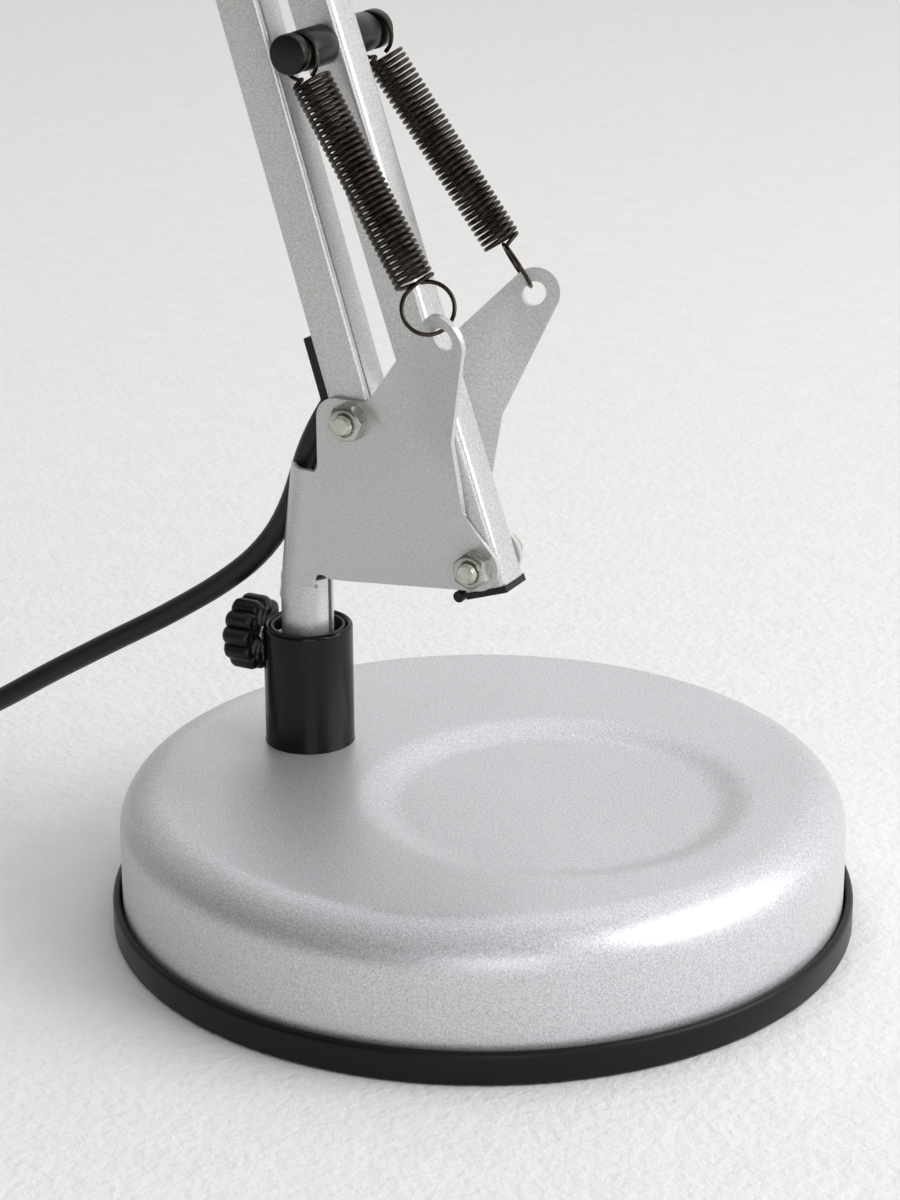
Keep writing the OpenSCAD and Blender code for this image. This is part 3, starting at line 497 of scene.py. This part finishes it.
coil = coil_points()
to_plug = [coil[-1] + Vector((8.8, -0.2, 0)), coil[-1] + Vector((17, -0.1, 0)),
           PLUG + Vector((3, 0, 0))]
free_cord, free_path = bending_cord("mains_cord", CORD_PATH + coil + to_plug,
                                    ("base", "swivel"), ON_TABLE, CORD_START, 3.0)
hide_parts("mains_coil")
bracket_cord, _ = bending_cord(
    "bracket_cord", [on_rear_bar(12, -0.6), on_rear_bar(10.4, -0.55), *BEND, CORD_START],
    ("swivel", "rear_bar"), CORD_START, BEND[0], 1.5)
cord_piece("lower_cord_run", [on_rear_bar(x, -0.6) for x in (12.2, 60, 140, 220, LOWER - 48.2)],
           "rear_bar")
cord_piece("upper_cord_run", [on_top_bar(x, -0.6) for x in (56.2, 100, 160, UPPER - 52.2)],
           "top_bar")


def clip_end(at, degrees, side):
    """Where the cord's stretches end inside a clip's hole."""
    return at + side * polar(2.8, degrees)


elbow_clip, head_clip = elbow_rear + Vector((15, 0, 23)), wrist_top + Vector((19, 0, 10))
points = [(-48, -0.6), (-46, -0.55), (-40, 0.8), (-32, 4.2), (-23, 9.5), (-12, 14.5), (0, 17),
          (9, 15), (16, 8.5), (19.5, -1), (18.8, -11)]
cord_loop("elbow_cord_rear",
          [on_rear_bar(LOWER + x, z) for x, z in points] + [clip_end(elbow_clip, 25, -1)],
          ("rear_bar", "elbow"))
points = [(-4, 16), (4, 15.6), (12, 13.8), (20, 11), (28, 7.5), (37, 3.2), (46, 0.3),
          (54, -0.55), (56, -0.6)]
cord_loop("elbow_cord_front",
          [clip_end(elbow_clip, 25, 1)] + [on_top_bar(x, z) for x, z in points],
          ("elbow", "top_bar"))
points = [(-52, -0.6), (-50, -0.55), (-43, 0.5), (-34, 3.8), (-25, 8), (-15, 11.3), (-5, 12.5),
          (5, 11), (12, 7)]
cord_loop("head_cord_rear",
          [on_top_bar(UPPER + x, z) for x, z in points] + [clip_end(head_clip, 5, -1)],
          ("top_bar", "head_bracket"))
points = [(-7, 17.4), (2, 18.35), (10.5, 15.5), (16.5, 9), (18.5, 1), (17, -7), (13.8, -15.5),
          (14.82, -21.26)]
cord_loop("head_cord_front",
          [clip_end(head_clip, 5, 1)] + [tilt_pivot + Vector((x, 0, z)) for x, z in points],
          ("head_bracket", "head_stem"))


# ---------- plug and tie ----------

ribs = []
for i in range(8):
    z = 2.2 + i * 2.5
    r = 3.5 + 1.9 * z / 22
    ribs += [(r - 0.5, z - 0.55), (r, z - 0.35), (r, z + 0.55), (r - 0.5, z + 0.75)]
relief = [(2.85, 0), (3.5, 0.2)] + ribs + [(5.6, 22), (5.6, 25), (2.85, 25)]
plug_relief = build_piece("plug_relief", [place(lathe(relief, 40), PLUG, (1, 0, 0))], "base",
                          "black_plastic")
plug_body = refined("mains_plug", 1.4)
plug_pins = refined("plug_pins", 0.6)
coil_tie = refined("coil_tie", 0.25)


# ---------- base ----------

def base_cover():
    """Pressed steel cover: one skin whose rings grow from the recess's centre to the rim."""
    cx, cy = 21.2, -2.5
    recess_r, recess_wall, recess_depth, flat_r = 48.6, 13.2, 2.5, 51
    top, side_r, round_r, foot, inside = 35.6, 87.6, 11.0, 2.1, 1.2
    count = 224
    verts, faces = [], []

    def dish(x, y):
        t = max(0.0, min(1.0, (recess_r - math.hypot(x - cx, y - cy)) / recess_wall))
        return top - recess_depth * t * t * t * (t * (6 * t - 15) + 10)

    def add_ring(radius, height=None, off_centre=0.0):
        """A ring whose centre lies between the base's, 0, and the recess's, 1."""
        for i in range(count):
            a = 2 * math.pi * i / count
            x = cx * off_centre + radius * math.cos(a)
            y = cy * off_centre + radius * math.sin(a)
            verts.append((x, y, dish(x, y) if height is None else height))

    for radius in (0.01, 6, 12, 18, 24, 29, 33):
        add_ring(radius, off_centre=1.0)
    radius = 34.0
    while radius < flat_r:
        add_ring(radius, off_centre=1.0)
        radius += 0.6
    for k in range(1, 19):
        t = k / 18
        add_ring(flat_r + t * (side_r - round_r - flat_r), off_centre=1 - t)
    for k in range(1, 21):
        b = math.pi / 2 * k / 20
        add_ring(side_r - round_r + round_r * math.sin(b), top - round_r + round_r * math.cos(b))
    for height in (20, 14, 8, 4, foot):
        add_ring(side_r, height)
    for height in (foot, 20):
        add_ring(side_r - inside, height)
    for k in range(len(verts) // count - 1):
        for i in range(count):
            j = (i + 1) % count
            faces.append([k * count + i, (k + 1) * count + i, (k + 1) * count + j, k * count + j])
    faces.append(list(range(count)))
    build_piece("base_cover_piece", [(verts, faces)], "base", "silver_paint", ["base_cover"], 50)


base_cover()
ring = [(76, 0.3), (76.3, 0), (88.9, 0), (89.6, 0.3), (90, 1.0), (90, 6.9), (89.8, 7.7),
        (89.3, 8.15), (88.9, 8.2), (88.5, 8.1), (88.2, 7.7), (88.1, 6.6), (88.0, 2.1), (76, 2.0)]
build_piece("base_ring_piece", [lathe(ring, 256)], "base", "black_lip", ["base_ring"], 45)
for node in ("base_weight", "base_plate", "base_screws", "base_pads", "socket_bolt", "socket_nut",
             "knob_insert"):
    refined(node, 0.4)

tube_profile = [(9.5, 20), (9.5, 65.3), (9.75, 65.95), (10.2, 66.2), (10.45, 66.15), (10.85, 65.8),
                (11, 65.2), (11, 36.2), (11.15, 35.7), (11.15, 34.0), (15, 19.7),
                (15, 17.2), (9.5, 17.2)]
build_piece("socket_tube_piece", [place(lathe(tube_profile, 96), SOCKET)], "base", "black_tube",
            ["socket_tube"])
bush_profile = [(6.5, 28), (6.5, 61.9), (6.9, 62.2), (8.0, 62.4), (8.25, 63), (8.3, 65.3),
                (8.5, 65.75), (9.1, 65.8), (9.42, 65.4), (9.45, 27.4), (6.5, 27.2)]
build_piece("socket_bush_piece", [place(lathe(bush_profile, 72), SOCKET)], "base",
            "black_plastic", ["socket_bush"])


def scallop(lobes, depth):
    """A knob's lobes, cut in from its side and fading out towards its middle."""
    def radius_at(r, h, a):
        keep = abs(math.cos(lobes * a / 2)) ** 0.7
        return r - depth * (1 - keep) * max(0.0, min(1.0, (r - 4.5) / 2.5))
    return radius_at


knob_profile = [(2.0, 0.9), (5.6, 0.9), (6.2, 0.5), (8.2, 0.2), (9.0, 0.7), (9.4, 1.6), (9.4, 6.2),
                (9.0, 7.1), (8.1, 7.8), (6.6, 8.0), (6.2, 7.6), (5.6, 7.35), (0.01, 7.3), (0.01, 5)]
build_piece("clamp_knob_piece", [
    place(lathe(knob_profile, 264, scallop(11, 1.7)), SOCKET + Vector((-12, 0, KNOB_Z)),
          (-1, 0, 0))], "clamp_knob", "black_plastic", ["clamp_knob"], 60)


def screw_thread(radius, low, high, pitch, depth):
    """Round thread about +Z, with a chamfered end at high."""
    tip = 0.5
    rows = max(2, round((high - low) / 0.1))
    heights = [low + (high - low) * k / rows for k in range(rows + 1)]
    profile = [(0.01, low)] + [(radius, h) for h in heights] + [(radius - tip, high + 0.01)]
    profile += [(0.01, high + 0.02)]

    def radius_at(r, h, a):
        if r < 0.5:
            return r
        wave = (h / pitch - a / (2 * math.pi)) % 1
        groove = depth * (1 - abs(2 * wave - 1) ** 1.4)
        return min(r - groove, radius - max(0.0, h - (high - tip)))

    return lathe(profile, 40, radius_at, False)


def hexagon(flats, height, hole=0.01):
    """Hexagon nut or head from 0 to height, its corners turned off at the outer face."""
    edge = flats / 2 * 0.93
    count, rows = 96, 7
    verts, faces = [], []
    for i in range(count):
        a = 2 * math.pi * i / count
        corner = flats / 2 / math.cos((a + math.pi / 6) % (math.pi / 3) - math.pi / 6)
        drop = max(0.02, (corner - edge) * 0.55)
        for r, h in ((hole, 0), (corner - 0.15, 0), (corner, 0.15), (corner, height - drop),
                     (edge, height), (max(hole + 0.25, hole * 1.12), height),
                     (hole, height - 0.3)):
            verts.append(Vector((r * math.cos(a), r * math.sin(a), h)))
    for i in range(count):
        j = (i + 1) % count
        for k in range(rows):
            m = (k + 1) % rows
            faces.append([i * rows + k, j * rows + k, j * rows + m, i * rows + m])
    return verts, faces


def turned(part, degrees):
    """A part turned about its own axis."""
    rot = Matrix.Rotation(math.radians(degrees), 3, "Z")
    return [rot @ Vector(v) for v in part[0]], part[1]


def near_nut(at, angle):
    """Flanged lock nut on the near side of a pivot."""
    collar = [(2.5, 0), (4.05, 0), (4.15, 0.2), (4.15, 0.7), (4.0, 0.9), (2.5, 0.9)]
    base = Vector((at.x, -PLATE_Y, at.z))
    lock = [(2.55, 3.9), (3.0, 4.0), (3.05, 3.9), (3.05, 3.4), (2.55, 3.4)]
    return [place(turned(hexagon(8, 3.8, 2.6), angle), base, (0, -1, 0)),
            place(lathe(lock, 48), base, (0, -1, 0)),
            place(lathe(collar, 48), base, (0, -1, 0))]


def bolt(at, angle):
    """Bolt from the far side, with its thread standing out of the near nut."""
    shank = [(0.01, 0), (2.45, 0), (2.45, 2 * PLATE_Y + 0.2), (0.01, 2 * PLATE_Y + 0.2)]
    start = Vector((at.x, PLATE_Y, at.z))
    return [place(lathe(shank, 40), start, (0, -1, 0)),
            place(screw_thread(2.5, 0, 5.7, 0.8, 0.3), (at.x, -PLATE_Y, at.z), (0, -1, 0)),
            place(turned(hexagon(8, 3.5), angle), start, (0, 1, 0))]


def fasteners(prefix, places, body, extra=()):
    """The bolts and nuts at these pivots, each turned a little differently."""
    parts, nuts = list(extra), []
    for i, p in enumerate(places):
        parts += bolt(p, 17 + 23 * i)
        nuts += near_nut(p, 8 + 31 * i)
    build_piece(prefix + "_bolts_piece", parts, body, "zinc", [prefix + "_bolts"], 35)
    build_piece(prefix + "_nuts_piece", nuts, body, "zinc", [prefix + "_nuts"], 35)


fasteners("bracket", [rear_pivot, front_pivot], "swivel")
fasteners("elbow", [elbow_rear, elbow_front, bottom_pivot, top_pivot], "elbow")
carriage = [(0.01, 0), (5.5, 0), (5.4, 0.5), (4.8, 1.3), (3.6, 2.0), (2, 2.35), (0.01, 2.4)]
tilt_shank = [(0.01, 0), (3.0, 0), (3.0, 18), (0.01, 18)]
fasteners("head", [wrist_bottom, wrist_top], "head_bracket", [
    place(lathe(carriage, 64), (tilt_pivot.x, PLATE_Y, tilt_pivot.z), (0, 1, 0)),
    place(lathe(tilt_shank, 40), (tilt_pivot.x, PLATE_Y, tilt_pivot.z), (0, -1, 0))])
build_piece("clamp_screw_piece", [
    place(screw_thread(1.95, 6.7, 17.8, 0.7, 0.25), SOCKET + Vector((0, 0, KNOB_Z)),
          (-1, 0, 0))], "clamp_knob", "zinc", ["clamp_screw"], 35)


# ---------- bracket, plates and bars ----------

refined("lower_bracket", 0.28)
for node in ("elbow_plate_near", "elbow_plate_far", "head_bracket_near", "head_bracket_far"):
    refined(node, 0.3)
for node in ("elbow_cord_clip", "head_cord_clip", "bottom_bar_clips", "rear_bar_guide",
             "front_bar_clip"):
    refined(node, 0.35)


def arc(cx, cz, radius, degrees):
    return [(cx + radius * math.cos(math.radians(a)), cz + radius * math.sin(math.radians(a)))
            for a in degrees]


def channel(node, body, pivot, along, open_side, length):
    """Folded channel bar with rounded folds, its open side along open_side."""
    w, d, wall, tail, fold, lip, spacing = 10.8, 10.2, 1.0, 5.8, 1.7, 0.35, 12
    top, cx, cz = w / 2, d / 2 - fold, -w / 2 + fold
    outline = ([(d / 2, top - lip)]
               + arc(cx, cz, fold, [-90 * k / 6 for k in range(7)])
               + arc(-cx, cz, fold, [-90 - 90 * k / 6 for k in range(7)])
               + [(-d / 2, top - lip), (-d / 2 + lip * 0.6, top),
                  (-d / 2 + wall - lip * 0.6, top), (-d / 2 + wall, top - lip)]
               + arc(-cx, cz, fold - wall, range(-180, -89, 15))
               + arc(cx, cz, fold - wall, range(-90, 1, 15))
               + [(d / 2 - wall, top - lip), (d / 2 - wall + lip * 0.6, top),
                  (d / 2 - lip * 0.6, top)])
    n = len(outline)
    middle = [-tail + spacing * k for k in range(1, 60)]
    stations = ([-tail, -tail + 0.25] + [s for s in middle if s < length + tail - 6]
                + [length + tail - 0.25, length + tail])
    y = Vector((0, 1, 0))
    verts, faces = [], []
    for i, s in enumerate(stations):
        shrink = 0.985 if i in (0, len(stations) - 1) else 1.0
        for a, b in outline:
            verts.append(pivot + s * along + a * shrink * y + b * shrink * open_side)
    for i in range(len(stations) - 1):
        for k in range(n):
            m = (k + 1) % n
            faces.append([i * n + k, (i + 1) * n + k, (i + 1) * n + m, i * n + m])
    faces.append(list(range(n)))
    faces.append([(len(stations) - 1) * n + k for k in range(n)][::-1])
    mesh = make_mesh(node + "_piece", verts, faces)
    bm = bmesh.new()
    bm.from_mesh(mesh)
    bmesh.ops.recalc_face_normals(bm, faces=bm.faces)
    bm.to_mesh(mesh)
    bm.free()
    finish_piece(node + "_piece", mesh, body, "silver_bars", [node], 38)


rear_open = Vector((-rear_dir.z, 0, rear_dir.x))
front_open = Vector((-front_dir.z, 0, front_dir.x))
upper_open = Vector((-upper_dir.z, 0, upper_dir.x))
channel("lower_rear_bar", "rear_bar", rear_pivot, rear_dir, rear_open, LOWER)
channel("lower_front_bar", "front_bar", front_pivot, front_dir, front_open, LOWER)
channel("upper_top_bar", "top_bar", top_pivot, upper_dir, upper_open, UPPER)
channel("upper_bottom_bar", "bottom_bar", bottom_pivot, upper_dir, -upper_open, UPPER)


# ---------- anchor pins, studs and springs ----------

def anchor_side(at, side):
    """One end of an anchor pin, with the groove for the spring's loop."""
    half = [(0.01, 4.9), (4.5, 4.9), (4.6, 5.2), (4.6, 14.5), (4.45, 14.75), (3.3, 14.85),
            (3.3, 17.55), (4.3, 17.65), (4.55, 17.8), (4.6, 18.1), (4.6, 20.1), (4.4, 20.6),
            (3.9, 20.8), (0.01, 20.8)]
    return place(lathe(half, 72, None, False), (at.x, 0, at.z), (0, side, 0))


def anchor_pin(node, at, body):
    core = lathe([(0.01, -5), (2.9, -5), (2.9, 5), (0.01, 5)], 48)
    build_piece(node + "_piece", [anchor_side(at, 1), anchor_side(at, -1),
                                  place(core, (at.x, 0, at.z), (0, 1, 0))],
                body, "black_pin", [node], 35)


anchor_pin("lower_anchor_pin", lower_pin, "front_bar")
anchor_pin("upper_anchor_pin", upper_pin, "bottom_bar")
stud_profile = [(0.01, 5.4), (2.0, 5.4), (2.0, 6.5), (3.9, 6.5), (4.0, 6.8), (4.0, 14.9),
                (3.3, 15.1), (3.3, 17.3), (4.0, 17.5), (4.0, 19.4), (3.6, 19.8), (0.01, 19.8)]
build_piece("elbow_spring_studs_piece", [
    place(lathe(stud_profile, 60, None, False), (stud.x, 0, stud.z), (0, s, 0)) for s in (1, -1)],
    "elbow", "black_pin", ["elbow_spring_studs"], 35)

WIRE, COIL_MEAN, PITCH = 0.5, 4.3, 1.4


def spring_half(start, end, seat, loop_r, roll, overlap, phase_from):
    """Loop at start, then coils along the line to end as far as the middle plus overlap.

    seat is how far below start the loop begins, and roll turns the loop about the line. The
    coils' angle counts from phase_from, so that the two halves wind as one spring.
    """
    hook = seat > 1.5
    loop_z = seat + loop_r if hook else seat
    coil_z = loop_z + loop_r + 0.5
    middle = (Vector(end) - Vector(start)).length / 2 + overlap
    rot = math.radians(roll)
    across = Vector((math.cos(rot), math.sin(rot), 0))
    loop = []
    for k in range(40):
        a = math.radians(-100 - 315 * k / 39)
        loop.append(Vector((0, 0, loop_z)) + loop_r * (math.cos(a) * across)
                    + Vector((0, 0, -loop_r * math.sin(a))))

    def coil_angle(z):
        return 2 * math.pi * (z - phase_from) / PITCH

    steps = 22
    helix = []
    for k in range(int((middle - coil_z) / PITCH * steps) + 1):
        z = coil_z + PITCH * k / steps
        a = coil_angle(z)
        helix.append(Vector((COIL_MEAN * math.cos(a), COIL_MEAN * math.sin(a), z)))
    lead = []
    for k in range(1, 8):
        t = k / 8
        a = coil_angle(coil_z) - (1 - t) * math.pi * 0.8
        r = COIL_MEAN * (0.25 + 0.75 * t)
        wound = Vector((r * math.cos(a), r * math.sin(a), helix[0].z - 0.35 * (1 - t)))
        lead.append(loop[-1].lerp(wound, t * t * (3 - 2 * t)))
    path = smooth_path(loop + lead, 0.9) + helix
    return place(tube(path, WIRE, 8), start, Vector(end) - Vector(start))


def spring(name, nodes, pairs, rolls, seat, loop_r, overlap):
    """A pair of springs: their top halves ride on one body and their foot halves on another."""
    tops, feet = [], []
    for (pin, foot), roll in zip(pairs, rolls):
        span = (Vector(pin) - Vector(foot)).length
        tops.append(spring_half(pin, foot, 1.2, 5.2, 0, overlap, 0.0))
        feet.append(spring_half(foot, pin, seat, loop_r, roll, overlap, span))
    for half, parts, node in (("_top", tops, nodes[0]), ("_foot", feet, nodes[1])):
        build_piece(name + half + "_piece", parts, name + half, "spring_wire", [node], 60)


spring("lower_spring", ("lower_spring_coils", "lower_spring_hooks"),
       [((lower_pin.x, s * GROOVE_Y, lower_pin.z), (ear_hole.x, s * ear_y, ear_hole.z))
        for s in (-1, 1)], (40, 115), 1.8, 5.9, 3.6)
spring("upper_spring", ("upper_spring_coils", "upper_spring_hooks"),
       [((upper_pin.x, s * GROOVE_Y, upper_pin.z), (stud.x, s * GROOVE_Y, stud.z))
        for s in (-1, 1)], (0, 0), 1.2, 5.2, 12.6)


# ---------- head ----------

def at_head(part):
    """Place a part drawn with its depth below the tilt pivot along +Z."""
    rot = Matrix.Rotation(math.radians(180 - 10), 3, "Y")
    return [rot @ Vector(v) + tilt_pivot for v in part[0]], part[1]


def bell(t):
    """The shade's radius, from its neck, 0, to its mouth, 1."""
    return 26 + 52 * math.sin(math.pi / 2 * t) ** 0.8


outer = [(bell(k / 48), 58 + 112 * k / 48) for k in range(49)]
profile = ([(23.7, 57.0), (25.2, 57.0), (25.8, 57.3)] + outer[:-1]
           + [(77.95, 169.2), (77.9, 169.9), (77.5, 170), (77.0, 169.6)]
           + [(r - 1.0, h) for r, h in outer[:-1]][::-1][:-1] + [(25, 59.0), (23.7, 59)])
shade = build_piece("shade_piece", [at_head(lathe(profile, 160))], "head", "shade_paint",
                    ["shade"], 45)
shade.data.materials.append(WHITE_INSIDE)
FIRST_INSIDE = 3 + 48 + 3
for i, face in enumerate(shade.data.polygons):
    if i % len(profile) >= FIRST_INSIDE:
        face.material_index = 1

housing = [(5.1, 28.2), (20.9, 28), (21.4, 28.2), (21.9, 28.9), (23.4, 37.4), (23.5, 38.2),
           (23.5, 42.2), (23.1, 42.4), (23.1, 43.2), (23.5, 43.4), (23.5, 45.8), (23.1, 46.0),
           (23.1, 46.8), (23.5, 47), (23.5, 53.4), (23.9, 54), (25.1, 54.3), (25.5, 54.8),
           (25.5, 56.6), (25.2, 57), (23.5, 57.1), (23.5, 73.6), (23.1, 74), (21.6, 74),
           (21.5, 73.5), (21.5, 30), (5.1, 29.6)]
build_piece("lamp_housing_piece", [at_head(lathe(housing, 128))], "head", "black_plastic",
            ["lamp_housing"], 38)
bulb_profile = [(0.01, 147)]
for k in range(1, 33):
    a = math.radians(180 * k / 40)
    bulb_profile.append((29 * math.sin(a), 118 + 29 * math.cos(a)))
bulb_profile += [(15.2, 92.0), (14.0, 86), (13.2, 79), (13.1, 73.5)]
build_piece("bulb_piece", [at_head(lathe(bulb_profile, 96, None, False))], "head", "bulb",
            ["bulb"], 60)
cap = [(13.1, 74)]
for k in range(7):
    z = 71.5 - 3.2 * k
    cap += [(13.15, z), (12.6, z - 1.6)]
cap += [(9, 47.5), (4.5, 46.2), (0.01, 46)]
cap_piece = build_piece("bulb_cap", [at_head(lathe(cap, 64, None, False))], "head", "zinc",
                        smooth_angle=60)
cap_piece.data.materials.clear()
cap_piece.data.materials.append(BULB_CAP)

for node, width in (("head_stem", 0.5), ("shade_ring", 0.3), ("lamp_holder", 0.5),
                    ("switch_button", 0.4)):
    refined(node, width)
tilt_profile = [(3.0, 0), (5.2, 0), (5.5, 0.3), (5.5, 2.8), (7.2, 3.0), (8.9, 3.6), (9.4, 4.4),
                (9.4, 9.4), (9.0, 10.3), (8.0, 10.9), (5.8, 11), (5.4, 10.6), (0.01, 10.5),
                (0.01, 8)]
build_piece("tilt_knob_piece", [
    place(lathe(tilt_profile, 216, scallop(9, 1.8)), (tilt_pivot.x, -PLATE_Y - 0.3, tilt_pivot.z),
          (0, -1, 0))], "tilt_knob", "black_plastic", ["tilt_knob"], 60)


# ---------- floor and light ----------

FLOOR_HALF = 40
floor_z = CAD_BOX[0].z
floor = bpy.data.objects.new("floor", bpy.data.meshes.new("floor"))
floor.data.from_pydata([(x * FLOOR_HALF, y * FLOOR_HALF, floor_z)
                        for x, y in ((-1, -1), (1, -1), (1, 1), (-1, 1))], [], [(0, 1, 2, 3)])
floor.data.materials.append(pebbled_board("table_board"))
bpy.context.scene.collection.objects.link(floor)

world = bpy.data.worlds.new("studio")
bpy.context.scene.world = world
world.use_nodes = True
sky = world.node_tree
sky_from = sky.nodes.new("ShaderNodeTexCoord")
sky_turn = sky.nodes.new("ShaderNodeVectorMath")
sky_turn.operation = "DOT_PRODUCT"
sky_turn.inputs[1].default_value = (0.30, 0.80, 0.52)
sky.links.new(sky_from.outputs["Generated"], sky_turn.inputs[0])
strength = map_range(sky, sky_turn.outputs["Value"], -0.6, 0.8, 0.10, 0.85)
sky.nodes["Background"].inputs["Color"].default_value = (1.0, 0.995, 0.985, 1)
sky.links.new(strength, sky.nodes["Background"].inputs["Strength"])


def area_light(name, at, towards, size, power):
    data = bpy.data.lights.new(name, "AREA")
    data.shape = "RECTANGLE"
    data.size, data.size_y = size
    data.energy = power
    obj = bpy.data.objects.new(name, data)
    obj.location = at
    direction = Vector(towards) - Vector(at)
    obj.rotation_mode = "QUATERNION"
    obj.rotation_quaternion = direction.to_track_quat("-Z", "Y")
    bpy.context.scene.collection.objects.link(obj)


area_light("key", (1.6, 0.3, 1.0), (0, 0, 0.08), (1.5, 1.3), 24)
area_light("fill", (1.0, -1.6, 0.5), (0, 0, 0.15), (1.0, 0.8), 5.5)
area_light("top", (0.0, 1.3, 2.4), (0, 0, 0), (3.2, 2.4), 9)

bpy.context.scene.view_settings.view_transform = "Standard"
